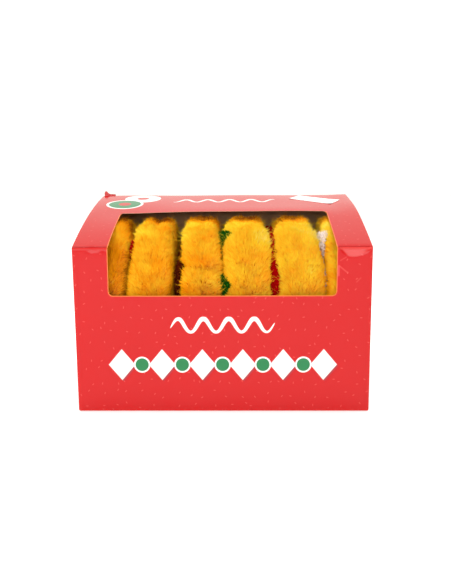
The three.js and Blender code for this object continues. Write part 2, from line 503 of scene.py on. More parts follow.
class CartonShape:
    """The carton's outline from the side, and how a place on its wrapped strip becomes a point."""

    def __init__(self, settings):
        self.half = CARTON_DEPTH / 2
        self.front = settings.front_height / MM
        self.back = settings.back_height / MM
        self.sill = settings.window_sill / MM
        self.reach = settings.window_reach / MM
        start = np.array((-self.half, self.front))
        end = np.array((self.half, self.back))
        chord = np.linalg.norm(end - start)
        bow = settings.lid_bow / MM
        self.radius = (chord ** 2 / 4 + bow ** 2) / (2 * bow)
        up = np.array((start[1] - end[1], end[0] - start[0])) / chord
        self.centre = (start + end) / 2 + up * (bow - self.radius)
        self.trace()

    def lid_height(self, y):
        """Height of the lid's arc over a place between front and back."""
        return self.centre[1] + np.sqrt(self.radius ** 2 - (y - self.centre[0]) ** 2)

    def trace(self):
        """Walks the outline: up the front, back over the lid, down the back and forward under the bottom."""
        h = self.half
        lid_start = -h + FOLD_ROUND
        lid_end = h - BACK_ROUND
        lid_rows = spread(lid_start, lid_end, LID_ROWS)
        stops = (FOOT_ROUND, *FRONT_BANDS, self.front - FOLD_ROUND)
        bands = [spread(*band) for band in zip(stops, stops[1:], FRONT_ROWS)]
        front_rows = np.concatenate((bands[0], *(band[1:] for band in bands[1:])))
        back_rows = spread(self.back - BACK_ROUND, FOOT_ROUND, BACK_ROWS)
        floor_rows = spread(h - FOOT_ROUND, -h + FOOT_ROUND, BOTTOM_ROWS)
        runs = [
            np.column_stack((np.full_like(front_rows, -h), front_rows)),
            bend_between((-h, self.front - FOLD_ROUND), (-h, self.front),
                         (lid_start, self.lid_height(lid_start)), FOLD_STEPS)[1:-1],
            np.column_stack((lid_rows, self.lid_height(lid_rows))),
            bend_between((lid_end, self.lid_height(lid_end)), (h, self.back),
                         (h, self.back - BACK_ROUND), FOLD_STEPS)[1:-1],
            np.column_stack((np.full_like(back_rows, h), back_rows)),
            bend_between((h, FOOT_ROUND), (h, 0), (h - FOOT_ROUND, 0), FOLD_STEPS)[1:-1],
            np.column_stack((floor_rows, np.zeros_like(floor_rows))),
            bend_between((-h + FOOT_ROUND, 0), (-h, 0), (-h, FOOT_ROUND), FOLD_STEPS)[1:],
        ]
        self.points = np.concatenate(runs)
        steps = np.linalg.norm(np.diff(self.points, axis=0), axis=1)
        self.run = np.concatenate(((0,), np.cumsum(steps))) + FOOT_ROUND
        ahead = np.roll(self.points[:-1], -1, axis=0) - np.roll(self.points[:-1], 1, axis=0)
        ahead /= np.linalg.norm(ahead, axis=1)[:, None]
        outward = np.column_stack((-ahead[:, 1], ahead[:, 0]))
        self.outward = np.concatenate((outward, outward[:1]))
        ends = np.cumsum([len(r) for r in runs])
        self.fold_run = (self.run[ends[0] - 1] + self.run[ends[1]]) / 2
        self.back_run = (self.run[ends[2] - 1] + self.run[ends[3]]) / 2
        self.foot_run = (self.run[ends[6] - 1] + self.run[-1]) / 2
        self.lid_span = (ends[1], ends[2])
        self.rear_run = self.run_on_lid(-h + self.reach)

    def run_on_lid(self, y):
        """How far along the strip a place on the lid is."""
        first, last = self.lid_span
        return float(np.interp(y, self.points[first:last, 0], self.run[first:last]))

    def lidness(self, run):
        """1 on the lid and 0 on the other panels, with a soft change at the folds."""
        return smooth_step(run, self.fold_run - FOLD_SOFT, self.fold_run + FOLD_SOFT) * (
            1 - smooth_step(run, self.back_run - FOLD_SOFT, self.back_run + FOLD_SOFT))

    def overhang(self, run):
        """1 where the lid's cut edge stands past the end panels, 0 at its corners."""
        near, far = OVERHANG_FROM
        return smooth_step(run, self.fold_run + near, self.fold_run + far) * (
            1 - smooth_step(run, self.back_run - far, self.back_run - near))

    def edge_round(self, run):
        """Radius of the strip's side edges."""
        lid = self.lidness(run)
        return EDGE_ROUND * (1 - lid) + LID_EDGE_ROUND * lid

    def place(self, x, run, inset=0.0):
        """The point of the strip at that width and run, sunk below the surface by the inset."""
        y = np.interp(run, self.run, self.points[:, 0])
        z = np.interp(run, self.run, self.points[:, 1])
        ny = np.interp(run, self.run, self.outward[:, 0])
        nz = np.interp(run, self.run, self.outward[:, 1])
        length = np.hypot(ny, nz)
        raised = self.relief(x, run) - inset
        push = self.pushed_in(x, run)
        wide = x + self.flare(x, y, z)
        return np.column_stack((wide, y + raised * ny / length + push, z + raised * nz / length))

    def flare(self, x, y, z):
        """How far the end panels are pressed out by the toys, most towards the front."""
        out = np.where(x > 0, RIGHT_FLARE, -LEFT_FLARE * z / self.front)
        return out * (2 * x / CARTON_WIDTH) ** FLARE_POWER * (self.half - y) / CARTON_DEPTH

    def pushed_in(self, x, run):
        """Two places under the front fold where the panel is pressed in, with a sharp lower crease."""
        past = run - self.fold_run
        total = np.zeros_like(past)
        for dent in (DENT, NICK):
            aside = x - dent["middle"]
            half = np.where(aside < 0, dent["left"], dent["right"])
            depth = dent["drop"] * (1 - (aside / half) ** 2)
            inside = smooth_step(depth + np.minimum(past, 0), -DENT_EDGE, DENT_EDGE)
            facet = DENT_SLOPE * np.clip(dent["drop"] + np.minimum(past, 0), 0, None)
            total += inside * facet * np.clip(1 - np.maximum(past, 0) / DENT_FADE, 0, 1) ** 2
        return total

    def relief(self, x, run):
        """Swell, slow waves and lifted edges of the card, along the outward direction."""
        side = np.clip(1 - (2 * x / CARTON_WIDTH) ** 2, 0, 1)
        front = 1 - smooth_step(run, self.fold_run - FRONT_SWELL_FADE, self.fold_run)
        front = front * smooth_step(run, FOOT_ROUND, FRONT_SWELL_FROM)
        lid = self.lidness(run)
        swell = FRONT_SWELL * side * np.sin(np.pi * np.clip(run / self.front, 0, 1)) * front
        wave = np.sin(x / WAVE_LENGTHS[0] + WAVE_SHIFTS[0]) * np.sin(run / WAVE_LENGTHS[1] + WAVE_SHIFTS[1])
        wave = WAVE * wave * side ** 0.5 * (front + lid)
        lift = RIGHT_LIFT * np.exp(-((run - self.rear_run - RIGHT_LIFT_BACK) / RIGHT_LIFT_SPREAD) ** 2)
        lift = lift + CORNER_LIFT * smooth_step(run, self.back_run - CORNER_LIFT_SPAN, self.back_run)
        lift = lift * lid * smooth_step(x, LID_EDGE_FROM, CARTON_WIDTH / 2)
        bow = np.clip(REAR_BOW - REAR_BOW_FALL * (x - REAR_BOW_MIDDLE) ** 2, REAR_BOW_LEAST, None)
        rear = lid * np.exp(-((run - self.rear_run) / REAR_BOW_SPREAD) ** 2)
        inner = 1 - smooth_step(np.abs(x), LID_EDGE_FROM, CARTON_WIDTH / 2)
        return swell + wave + lift + bow * rear * inner


class CardSheet:
    """Points, print coordinates, wear and faces of the card's outer face."""

    def __init__(self):
        self.points = []
        self.prints = []
        self.wear = []
        self.faces = []
        self.kinds = []
        self.count = 0

    def add(self, points, prints, wear, faces, kinds=None):
        self.points.append(points)
        self.prints.append(prints)
        self.wear.append(wear)
        self.faces.extend([tuple(int(i) + self.count for i in face) for face in faces])
        self.kinds.extend(kinds or [PRINTED] * len(faces))
        self.count += len(points)

    def mesh(self, name):
        mesh = bpy.data.meshes.new(name)
        points = np.concatenate(self.points) * MM
        mesh.from_pydata(points.tolist(), [], self.faces)
        mesh.polygons.foreach_set("material_index", self.kinds)
        store_print(mesh, np.concatenate(self.prints), np.concatenate(self.wear))
        return mesh


def window_sizes(shape, settings):
    """The window on the strip: half its width, its lower and upper ends, and its corners' radius."""
    return settings.window_width / MM / 2, shape.sill, shape.rear_run, settings.window_corner / MM


def window_outline(shape, settings):
    """The window's rounded outline on the strip, as width and run, anticlockwise."""
    half, low, high, corner = window_sizes(shape, settings)
    points = []
    for cx, cz, start in ((half, low, -90), (half, high, 0), (-half, high, 90), (-half, low, 180)):
        middle = np.array((cx - math.copysign(corner, cx), cz + (corner if cz == low else -corner)))
        angles = np.radians(start + np.linspace(0, 90, CORNER_POINTS))
        points.append(middle + corner * np.column_stack((np.cos(angles), np.sin(angles))))
    outline = np.concatenate(points)
    filled = []
    for a, b in zip(outline, np.roll(outline, -1, axis=0)):
        count = max(1, round(np.linalg.norm(b - a) / OUTLINE_STEP))
        filled.append(a + (b - a) * np.linspace(0, 1, count, endpoint=False)[:, None])
    return np.concatenate(filled)


def inside_window(points, shape, settings, margin):
    """True for points within the window's outline, grown by the margin."""
    half, low, high, corner = window_sizes(shape, settings)
    gap_x = np.abs(points[:, 0]) - half + corner
    gap_y = np.abs(points[:, 1] - (low + high) / 2) - (high - low) / 2 + corner
    outside = np.hypot(np.clip(gap_x, 0, None), np.clip(gap_y, 0, None))
    return outside + np.minimum(np.maximum(gap_x, gap_y), 0) < corner + margin


def triangulate(points, edges, kind):
    """Triangles over flat points that keep the given edges."""
    made = delaunay_2d_cdt([Vector(p) for p in points], edges, [], kind, 1e-5, False)
    return np.array([tuple(v) for v in made[0]]), made[2]


def loop_edges(start, count):
    """Edges that join points in a closed loop."""
    return [(start + i, start + (i + 1) % count) for i in range(count)]


def add_strip(sheet, shape, settings):
    """The wrapped front, lid, back and bottom, with the window left out."""
    half = CARTON_WIDTH / 2
    near_end = half - np.array(END_COLUMNS)
    inner = near_end.min()
    columns = np.unique(np.round(np.concatenate((
        -near_end, spread(-inner, FINE_FROM, COLUMNS), spread(FINE_FROM, inner, FINE_COLUMNS), near_end)), 4))
    grid_x, grid_run = np.meshgrid(columns, shape.run)
    lattice = np.column_stack((grid_x.ravel(), grid_run.ravel()))
    lattice = lattice[~inside_window(lattice, shape, settings, WINDOW_MARGIN)]
    outline = window_outline(shape, settings)
    flat = np.concatenate((lattice, outline))
    points, faces = triangulate(flat, loop_edges(len(lattice), len(outline)), 0)
    middles = np.array([points[list(f)].mean(0) for f in faces])
    keep = ~inside_window(middles, shape, settings, WINDOW_OVERLAP)
    faces = [f for f, k in zip(faces, keep) if k]
    x, run = points[:, 0], points[:, 1]
    rounding = shape.edge_round(run)
    short = np.clip(rounding - (half - np.abs(x)), 0, rounding)
    inset = rounding - np.sqrt(np.clip(rounding ** 2 - short ** 2, 0, None))
    placed = shape.place(x, run, inset)
    edge_gap = np.minimum(half - np.abs(x), np.abs(run - shape.back_run))
    wear = np.exp(-(np.minimum(edge_gap, np.abs(run - shape.foot_run)) / WEAR_SPREAD) ** 2)
    sheet.add(placed, np.column_stack((x, run)), wear, faces)


def within_border(points, face, count):
    """False for a triangle of border points in a hollow outside the border, which runs clockwise."""
    a, b, c = (points[i] for i in sorted(face))
    turn = (b[0] - a[0]) * (c[1] - a[1]) - (b[1] - a[1]) * (c[0] - a[0])
    return max(face) >= count or turn < 0


def add_side(sheet, shape, sign):
    """One end panel. Under the lid's cut edge it steps in, elsewhere it folds round from the strip."""
    half = CARTON_WIDTH / 2
    run = shape.run[:-1]
    count = len(run)
    x = np.full(count, sign * half)
    lid = shape.overhang(run)
    first = shape.edge_round(run)
    second = first + SIDE_FOLD + (LID_EDGE_BAND - SIDE_FOLD) * lid
    rows = [shape.place(x, run, inset) for inset in (first, second, second + SIDE_LAP)]
    rows[2][:, 0] -= sign * SIDE_STEP * lid
    rim = np.concatenate(rows)
    faces = []
    kinds = []
    for row in range(2):
        for i in range(count):
            j = (i + 1) % count
            quad = (row * count + i, (row + 1) * count + i, (row + 1) * count + j, row * count + j)
            faces.append(quad if sign > 0 else quad[::-1])
            kinds.append(CUT if row == 0 and lid[i] > 0.5 else PRINTED)
    wear = np.repeat(SIDE_WEAR, count)
    prints = np.column_stack((rim[:, 1] + SIDE_UV_SHIFT * sign, rim[:, 2]))
    sheet.add(rim, prints, wear, faces, kinds)
    border = rows[2][:, 1:]
    inner = shape.half - SIDE_CELL
    grid_y, grid_z = np.meshgrid(spread(-inner, inner, SIDE_CELL), spread(SIDE_CELL, shape.back, SIDE_CELL))
    grid = np.column_stack((grid_y.ravel(), grid_z.ravel()))
    grid = grid[grid[:, 1] < shape.lid_height(grid[:, 0]) - SIDE_CLEAR]
    bent = border + BORDER_BEND * np.column_stack((
        np.sign(border[:, 0]) * (1 - (border[:, 1] / shape.back * 2 - 1) ** 2),
        -(1 - (border[:, 0] / shape.half) ** 2) * (border[:, 1] < FOOT_ROUND)))
    points, faces = triangulate(np.concatenate((bent, grid)), loop_edges(0, count), 1)
    faces = [face for face in faces if within_border(points, face, count)]
    points[:count] = border
    under = shape.lid_height(points[:, 0]) - points[:, 1]
    tuck = SIDE_STEP * (1 - smooth_step(under, *TUCK_DEPTHS)) * smooth_step(points[:, 1], *TUCK_HEIGHTS)
    across = np.clip(1 - (points[:, 0] / shape.half) ** 2, 0, 1)
    upright = np.clip(points[:, 1] / shape.lid_height(points[:, 0]), 0, 1)
    belly = SIDE_BELLY * across * np.sin(np.pi * upright) ** 2
    flat = np.full(len(points), sign * half)
    outer = sign * (half - tuck + belly) + shape.flare(flat, points[:, 0], points[:, 1])
    panel = np.column_stack((outer, points))
    panel[:count, 0] = rows[2][:, 0]
    prints = np.column_stack((points[:, 0] + SIDE_UV_SHIFT * sign, points[:, 1]))
    faces = faces if sign > 0 else [tuple(reversed(f)) for f in faces]
    sheet.add(panel, prints, np.zeros(len(panel)), faces)


def carton_shell(shape, settings):
    """The card's outer face as one joined skin, open at the window."""
    sheet = CardSheet()
    add_strip(sheet, shape, settings)
    for sign in (1, -1):
        add_side(sheet, shape, sign)
    mesh = sheet.mesh("carton_skin")
    edit = bmesh.new()
    edit.from_mesh(mesh)
    bmesh.ops.remove_doubles(edit, verts=edit.verts, dist=MERGE_GAP * MM)
    bmesh.ops.dissolve_degenerate(edit, edges=edit.edges, dist=SLIVER * MM)
    edit.to_mesh(mesh)
    edit.free()
    return mesh


def thin_rear_edge(mesh, outer, shape, settings):
    """Tapers the card towards the window's rear edge, from below. The outer face's points come first."""
    rear = shape.reach - shape.half
    places = point_places(mesh)
    face, back = places[:outer], places[outer:2 * outer]
    behind = face[:, 1] / MM - rear
    edge = (np.abs(face[:, 0]) < settings.window_width / 2) & (face[:, 2] / MM > shape.front)
    edge &= (behind > -REAR_MARGIN) & (behind < REAR_TAPER)
    share = REAR_THIN + (1 - REAR_THIN) * np.clip(behind / REAR_TAPER, 0, 1)
    back[edge] = face[edge] + (back[edge] - face[edge]) * share[edge, None]
    mesh.vertices.foreach_set("co", places.ravel())
    for rim in mesh.polygons:
        across = abs(rim.center.x) < settings.window_width / 2
        if rim.material_index == CUT and across and rim.center.y > (rear - REAR_MARGIN) * MM:
            rim.material_index = BARE


def ear_mesh(shape, settings):
    """The corner of the back flap that stands up behind the lid, as a thin rounded plate."""
    rise = settings.ear_rise / MM
    width = settings.ear_width / MM
    tip = bend_between(EAR_TIP_START, (EAR_TIP_ACROSS, rise + EAR_TIP_OVER), EAR_TIP_END, EAR_TIP_STEPS)
    start = (EAR_ROOT_START, -EAR_ROOT)
    outline = np.concatenate(((start,), tip, (EAR_SHOULDER, (width, EAR_EDGE), (width, -EAR_ROOT))))
    count = len(outline)
    lean = EAR_LEAN * np.clip(outline[:, 1], 0, None) ** EAR_LEAN_POWER
    outline = outline + np.array((-CARTON_WIDTH / 2, shape.back))
    front = np.column_stack((outline[:, 0], shape.half - EAR_INSET + lean, outline[:, 1]))
    back = front + np.array((0, EAR_THICK, 0))
    sides = [(i, (i + 1) % count, count + (i + 1) % count, count + i) for i in range(count)]
    faces = [tuple(range(count))[::-1], tuple(range(count, 2 * count)), *sides]
    mesh = bpy.data.meshes.new("back_ear")
    mesh.from_pydata((np.concatenate((front, back)) * MM).tolist(), [], faces)
    prints = np.tile(outline, (2, 1)) + np.array((0, EAR_UV_SHIFT))
    store_print(mesh, prints, np.full(2 * count, EAR_WEAR))
    face_outward(mesh)
    return mesh


# Print and card finishes

PRINT_SOFT = 0.25
SPECK_CELL = 8.8
SPECK_MARGIN = 0.14
SPECK_HALF = 0.5
SPECK_THICK = 0.34
SPECK_SOFT = 0.15
LOZENGE_PITCH = 28.0
LOZENGE_HALF = (9.2, 11.0)
LOZENGE_REACH = 84.0
LOZENGE_SOFT = 0.05
BAND_HEIGHT = 34.0
BAND_SOFT = 0.2
SHADE_SHIFT = 0.9
DOT_RADIUS = 4.6
DOT_RIM = 1.1
SCROLL_HEIGHT = 61.8
SCROLL_REACH = 36.0
SCROLL_RISE = 4.6
SCROLL_PITCH = 17.5
SCROLL_THICK = 1.25
SCROLL_SWELL = 0.22
SCROLL_TAPER = 9.0
LID_SCROLL_Y = 38.0
LID_SCROLL_REACH = 41.0
GREEN_RING = (-78.7, 27.4)
WHITE_RING = (-66.6, 47.6)
RING_RADIUS = 14.6
RING_GREEN_OUTER = 12.7
RING_HEART = 4.9

# How strongly the print, the wear, the painted highlights and the painted shade line show over the red, and
# how rough they make it.
CLOUD_MIX = 0.25
CLOUD_SHADE = 0.82
SPECK_MIX = 0.22
SHADE_MIX = 0.8
DENT_HIGHLIGHT_MIX = 0.18
DENT_SOFT = 0.2
DENT_PAST = 0.1
FOLD_SHADE_HALF = 0.6
FOLD_SHADE_RISE = 1.3
FOLD_SHADE_MIX = 0.7
FOLD_SHADE_DEPTH = 0.55
FOLD_HALF = 0.7
FOLD_DROP = 0.6
FOLD_WEAR_AND_GLINT_MIX = 0.12
SCUFF_FROM = 0.42
SCUFF_GAIN = 3.0
WORN_MIX = 0.22
CUT_BAND = 0.4
CUT_SOFT = 0.3
CUT_STOP = 4.0
CUT_FADE = 4.0
CARD_ROUGH = 0.13
CLOUD_ROUGH = 0.08
WORN_ROUGH = 0.15
RUBBED_ROUGH = 0.2
FOLD_ROUGH = 0.3

BOARD_FIBRE = 0.6
BOARD_SHADE = 0.72
BOARD_ROUGH = 0.75
BOARD_ROUGH_SPAN = 0.2
SHARP_FOLD = math.radians(38)

# Painted highlights of the creases and the bent edge beside the window, laid on in pale red: start, end, half
# width and strength.
CREASE_HIGHLIGHTS = (
    ((79.4, 103.0), (85.2, 98.2), 0.5, 0.2),
    ((80.3, 106.6), (84.0, 108.8), 0.45, 0.14),
    ((91.4, 91.8), (94.0, 94.6), 0.4, 0.12),
    ((79.0, 102.4), (79.0, 96.6), 0.8, 0.3),
)


class PrintPlan:
    """The shapes printed on the card, with the painted highlights and painted shade laid over them, as masks
    over the print coordinates in millimetres.
    """

    def __init__(self, finish):
        self.finish = finish
        place = finish.node("ShaderNodeUVMap", {"uv_map": "Print"}).outputs[0]
        across, up, _ = finish.parts(place)
        self.x = across / MM
        self.y = up / MM

    def specks(self):
        """Short dashes, one in each cell, at random places and angles."""
        cell_x = self.x / SPECK_CELL
        cell_y = self.y / SPECK_CELL
        column, row = cell_x.floor(), cell_y.floor()
        draw = self.finish.node("ShaderNodeTexWhiteNoise", {"noise_dimensions": "2D"}, {
            "Vector": self.finish.vector(column, row, 0.0)})
        shift_x, shift_y, turn = self.finish.parts(draw.outputs["Color"])
        room = 1 - 2 * SPECK_MARGIN
        dx = (cell_x - column - SPECK_MARGIN - shift_x * room) * SPECK_CELL
        dy = (cell_y - row - SPECK_MARGIN - shift_y * room) * SPECK_CELL
        angle = turn * math.pi
        cosine, sine = angle.cos(), angle.sin()
        along = (abs(dx * cosine + dy * sine) - SPECK_HALF).most(0.0)
        aside = dy * cosine - dx * sine
        return (along * along + aside * aside).sqrt().below(SPECK_THICK, SPECK_SOFT)

    def lozenges(self, shift):
        """A row of upright lozenges across the front."""
        x = self.x - shift
        near = x - ((x / LOZENGE_PITCH).floor() + 0.5) * LOZENGE_PITCH
        size = abs(near) / LOZENGE_HALF[0] + abs(self.y - BAND_HEIGHT + shift) / LOZENGE_HALF[1]
        return size.below(1.0, LOZENGE_SOFT) * abs(x).below(LOZENGE_REACH, BAND_SOFT)

    def dots(self, radius):
        """Round dots between the lozenges."""
        near = self.x - (self.x / LOZENGE_PITCH + 0.5).floor() * LOZENGE_PITCH
        up = self.y - BAND_HEIGHT
        inner = abs(self.x).below(LOZENGE_REACH - LOZENGE_PITCH / 2, BAND_SOFT)
        return (near * near + up * up).sqrt().below(radius, PRINT_SOFT) * inner

    def scroll(self, height, reach):
        """A wavy drizzled line, swelling in its rises."""
        turn = self.x * (2 * math.pi / SCROLL_PITCH)
        line = turn.sin() * SCROLL_RISE
        steep = turn.cos() * (SCROLL_RISE * 2 * math.pi / SCROLL_PITCH)
        gap = abs(self.y - height - line) / (steep * steep + 1.0).sqrt()
        taper = ((reach - abs(self.x)) / SCROLL_TAPER).clamped().sqrt()
        thick = (turn.sin() * SCROLL_SWELL + 1.0) * taper * SCROLL_THICK
        return (gap - thick).below(0.0, PRINT_SOFT) * abs(self.x).below(reach, PRINT_SOFT)

    def window_gap(self, shape, settings):
        """How far outside the window's rounded outline a place is."""
        half, low, high, corner = window_sizes(shape, settings)
        gap_x = abs(self.x) - (half - corner)
        gap_y = abs(self.y - (high + low) / 2) - ((high - low) / 2 - corner)
        out_x, out_y = gap_x.most(0.0), gap_y.most(0.0)
        return (out_x * out_x + out_y * out_y).sqrt() - corner

    def streak(self, start, end, half):
        """A straight mark with round ends."""
        dx, dy = self.x - start[0], self.y - start[1]
        length = math.dist(start, end)
        across, up = (end[0] - start[0]) / length, (end[1] - start[1]) / length
        past = (dx * across + dy * up).most(0.0).least(length)
        gap_x, gap_y = dx - past * across, dy - past * up
        return (gap_x * gap_x + gap_y * gap_y).sqrt().below(half, half)

    def dent(self, shape):
        """The place under the front fold that is pressed in, which gets a painted highlight."""
        aside = self.x - DENT["middle"]
        share = aside.most(0.0) / DENT["right"] - aside.least(0.0) / DENT["left"]
        past = (self.y - shape.fold_run) / DENT["drop"]
        return (share * share - past).below(1.0, DENT_SOFT) * past.below(DENT_PAST, DENT_SOFT)

    def line(self, run, half):
        """A soft line across the sheet."""
        return abs(self.y - run).below(half, half)

    def disc(self, middle, radius):
        """A round spot."""
        dx = self.x - middle[0]
        dy = self.y - middle[1]
        return (dx * dx + dy * dy).sqrt().below(radius, PRINT_SOFT)


def card_finish(settings, shape):
    """Laminated red card with its print, pale where the folds are worn. It also carries a pale line under the
    front fold that is partly wear and partly a painted highlight, a painted shade line along the fold's
    crease, and painted highlights on the dent and on the creases beside the window.
    """
    finish = Finish("card_print", specular_ior_level=0.31)
    plan = PrintPlan(finish)
    place = finish.object_place()
    cloud = finish.noise(place, scale=28.0, detail=3.0)
    colour = finish.mix(cloud * CLOUD_MIX, settings.red[:], shaded(settings.red, CLOUD_SHADE))
    colour = finish.mix(plan.specks() * SPECK_MIX, colour, settings.speck[:])
    colour = finish.mix(plan.lozenges(SHADE_SHIFT) * SHADE_MIX, colour, settings.shade[:])
    white = plan.lozenges(0.0).most(plan.dots(DOT_RADIUS + DOT_RIM))
    white = white.most(plan.scroll(SCROLL_HEIGHT, SCROLL_REACH))
    lid_scroll = plan.scroll(shape.run_on_lid(LID_SCROLL_Y), LID_SCROLL_REACH)
    back_ring = (WHITE_RING[0], shape.run_on_lid(WHITE_RING[1]))
    front_ring = (GREEN_RING[0], shape.run_on_lid(GREEN_RING[1]))
    white_ring = plan.disc(back_ring, RING_RADIUS) * (1 - plan.disc(back_ring, RING_HEART))
    colour = finish.mix(white.most(lid_scroll).most(white_ring), colour, settings.white[:])
    colour = finish.mix(plan.disc(front_ring, RING_RADIUS), colour, settings.white[:])
    green = plan.disc(front_ring, RING_GREEN_OUTER).most(plan.dots(DOT_RADIUS))
    colour = finish.mix(green, colour, settings.green[:])
    colour = finish.mix(plan.disc(front_ring, RING_HEART), colour, settings.red[:])
    # Painted highlights: pale marks on the creases and the bent edge beside the window.
    for start, end, half, strength in CREASE_HIGHLIGHTS:
        colour = finish.mix(plan.streak(start, end, half) * strength, colour, settings.speck[:])
    # Painted highlight: a paler facet where the panel is pressed in under the fold.
    colour = finish.mix(plan.dent(shape) * DENT_HIGHLIGHT_MIX, colour, settings.speck[:])
    # Painted shade: a darker line along the crease just above the fold, on the lid.
    fold_shade_line = plan.line(shape.fold_run + FOLD_SHADE_RISE, FOLD_SHADE_HALF)
    colour = finish.mix(fold_shade_line * FOLD_SHADE_MIX, colour, shaded(settings.red, FOLD_SHADE_DEPTH))
    # A pale line just under the fold: partly worn card, partly a painted highlight on the fold's rounding.
    fold = plan.line(shape.fold_run - FOLD_DROP, FOLD_HALF)
    colour = finish.mix(fold * FOLD_WEAR_AND_GLINT_MIX, colour, settings.speck[:])
    scuff = finish.noise(place, scale=420.0, detail=4.0, roughness=0.65)
    worn = finish.attribute("wear") * ((scuff - SCUFF_FROM) * SCUFF_GAIN).clamped()
    rubbed = plan.window_gap(shape, settings).below(CUT_BAND, CUT_SOFT) * (scuff * 0.5 + 0.5)
    rubbed = rubbed * plan.y.below(shape.rear_run - CUT_STOP, CUT_FADE)
    colour = finish.mix((worn * WORN_MIX).most(rubbed), colour, settings.cut[:])
    finish.feed_shader("Base Color", colour)
    rough = cloud * CLOUD_ROUGH + worn * WORN_ROUGH + rubbed * RUBBED_ROUGH
    finish.feed_shader("Roughness", rough + fold.most(fold_shade_line) * FOLD_ROUGH + CARD_ROUGH)
    finish.bump(finish.noise(place, scale=1100.0), strength=0.035, distance=0.0003)
    return finish.material


def board_finish(name, colour):
    """Bare card: the inner face, or a cut edge, with short fibres."""
    finish = Finish(name, roughness=0.85)
    place = finish.object_place()
    fibre = finish.noise(place, scale=700.0, detail=5.0, roughness=0.7)
    cloud = finish.noise(place, scale=45.0)
    mottle = fibre * BOARD_FIBRE + cloud * (1 - BOARD_FIBRE)
    finish.feed_shader("Base Color", finish.mix(mottle, shaded(colour, BOARD_SHADE), colour))
    finish.feed_shader("Roughness", fibre * BOARD_ROUGH_SPAN + BOARD_ROUGH)
    finish.bump(fibre, strength=0.25, distance=0.0003)
    return finish.material


class DOUGHNUT_OT_carton(bpy.types.Operator):
    """Builds the card carton with its window and print"""

    bl_idname = "doughnut_box.carton"
    bl_label = "Carton"

    def execute(self, context):
        settings = context.scene.doughnut_carton
        shape = CartonShape(settings)
        carton = new_piece("card_carton", carton_shell(shape, settings), card_finish(settings, shape))
        carton.data.materials.append(board_finish("card_inside", settings.board[:]))
        carton.data.materials.append(board_finish("card_cut", settings.cut[:]))
        wall = carton.modifiers.new("Card thickness", "SOLIDIFY")
        wall.thickness = settings.card
        wall.offset = -1
        wall.use_even_offset = True
        wall.material_offset = BARE
        wall.material_offset_rim = CUT
        outer = len(carton.data.vertices)
        settle(carton)
        thin_rear_edge(carton.data, outer, shape, settings)
        edit = bmesh.new()
        edit.from_mesh(carton.data)
        edit.from_mesh(ear_mesh(shape, settings))
        edit.to_mesh(carton.data)
        edit.free()
        carton.data.shade_smooth()
        carton.data.set_sharp_from_angle(angle=SHARP_FOLD)
        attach(carton, ROOT)
        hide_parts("carton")
        return {"FINISHED"}


# The sticker on the lid

STICKER_MIDDLE = (72.9, 41.6)
STICKER_SIZE = (38.0, 16.5)
STICKER_TURN = -35.0
STICKER_CORNER = 1.2
STICKER_THICK = 0.16
STICKER_GAP = 0.06
STICKER_CURL = 0.5
STICKER_CURL_POWERS = (8, 4)
STICKER_STEP = 1.2
STICKER_SHARP = math.radians(40)
STICKER_MIX = 0.3
STICKER_SHADE = 0.88
STICKER_ROUGH = 0.35
STICKER_ROUGH_SPAN = 0.15


def sticker_mesh(shape):
    """A rounded rectangle laid on the lid, its far corners just lifting."""
    long, short = STICKER_SIZE
    columns = spread(-long / 2, long / 2, STICKER_STEP)
    rows = spread(-short / 2, short / 2, STICKER_STEP)
    u, v = np.meshgrid(columns, rows)
    gap_u = np.clip(np.abs(u) - long / 2 + STICKER_CORNER, 0, None)
    gap_v = np.clip(np.abs(v) - short / 2 + STICKER_CORNER, 0, None)
    reach = np.maximum(np.hypot(gap_u, gap_v) / STICKER_CORNER, 1)
    shrink = np.where((gap_u > 0) & (gap_v > 0), reach, 1)
    u = u - np.sign(u) * gap_u * (1 - 1 / shrink)
    v = v - np.sign(v) * gap_v * (1 - 1 / shrink)
    turn = math.radians(STICKER_TURN)
    x = STICKER_MIDDLE[0] + u * math.cos(turn) - v * math.sin(turn)
    y = STICKER_MIDDLE[1] + u * math.sin(turn) + v * math.cos(turn)
    runs = np.array([shape.run_on_lid(value) for value in y.ravel()])
    far_u, far_v = STICKER_CURL_POWERS
    curl = (np.abs(u.ravel()) / (long / 2)) ** far_u * (np.abs(v.ravel()) / (short / 2)) ** far_v
    placed = shape.place(x.ravel(), runs, -(STICKER_GAP + STICKER_CURL * curl))
    wide = len(columns)
    faces = [(r * wide + c, r * wide + c + 1, (r + 1) * wide + c + 1, (r + 1) * wide + c)
             for r in range(len(rows) - 1) for c in range(wide - 1)]
    mesh = bpy.data.meshes.new("lid_sticker")
    mesh.from_pydata((placed * MM).tolist(), [], faces)
    return mesh


class DOUGHNUT_OT_sticker(bpy.types.Operator):
    """Lays the blank sticker on the lid"""

    bl_idname = "doughnut_box.sticker"
    bl_label = "Lid sticker"

    def execute(self, context):
        settings = context.scene.doughnut_carton
        shape = CartonShape(settings)
        finish = Finish("sticker_paper", roughness=0.42)
        place = finish.object_place()
        fleck = finish.noise(place, scale=500.0, detail=3.0)
        paper = settings.sticker[:]
        finish.feed_shader("Base Color", finish.mix(fleck * STICKER_MIX, paper, shaded(paper, STICKER_SHADE)))
        finish.feed_shader("Roughness", fleck * STICKER_ROUGH_SPAN + STICKER_ROUGH)
        finish.bump(fleck, strength=0.1, distance=0.0002)
        sticker = new_piece("lid_sticker", sticker_mesh(shape), finish.material)
        wall = sticker.modifiers.new("Paper", "SOLIDIFY")
        wall.thickness = STICKER_THICK * MM
        wall.offset = 1
        settle(sticker)
        sticker.data.shade_smooth()
        sticker.data.set_sharp_from_angle(angle=STICKER_SHARP)
        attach(sticker, ROOT)
        return {"FINISHED"}


# The doughnuts

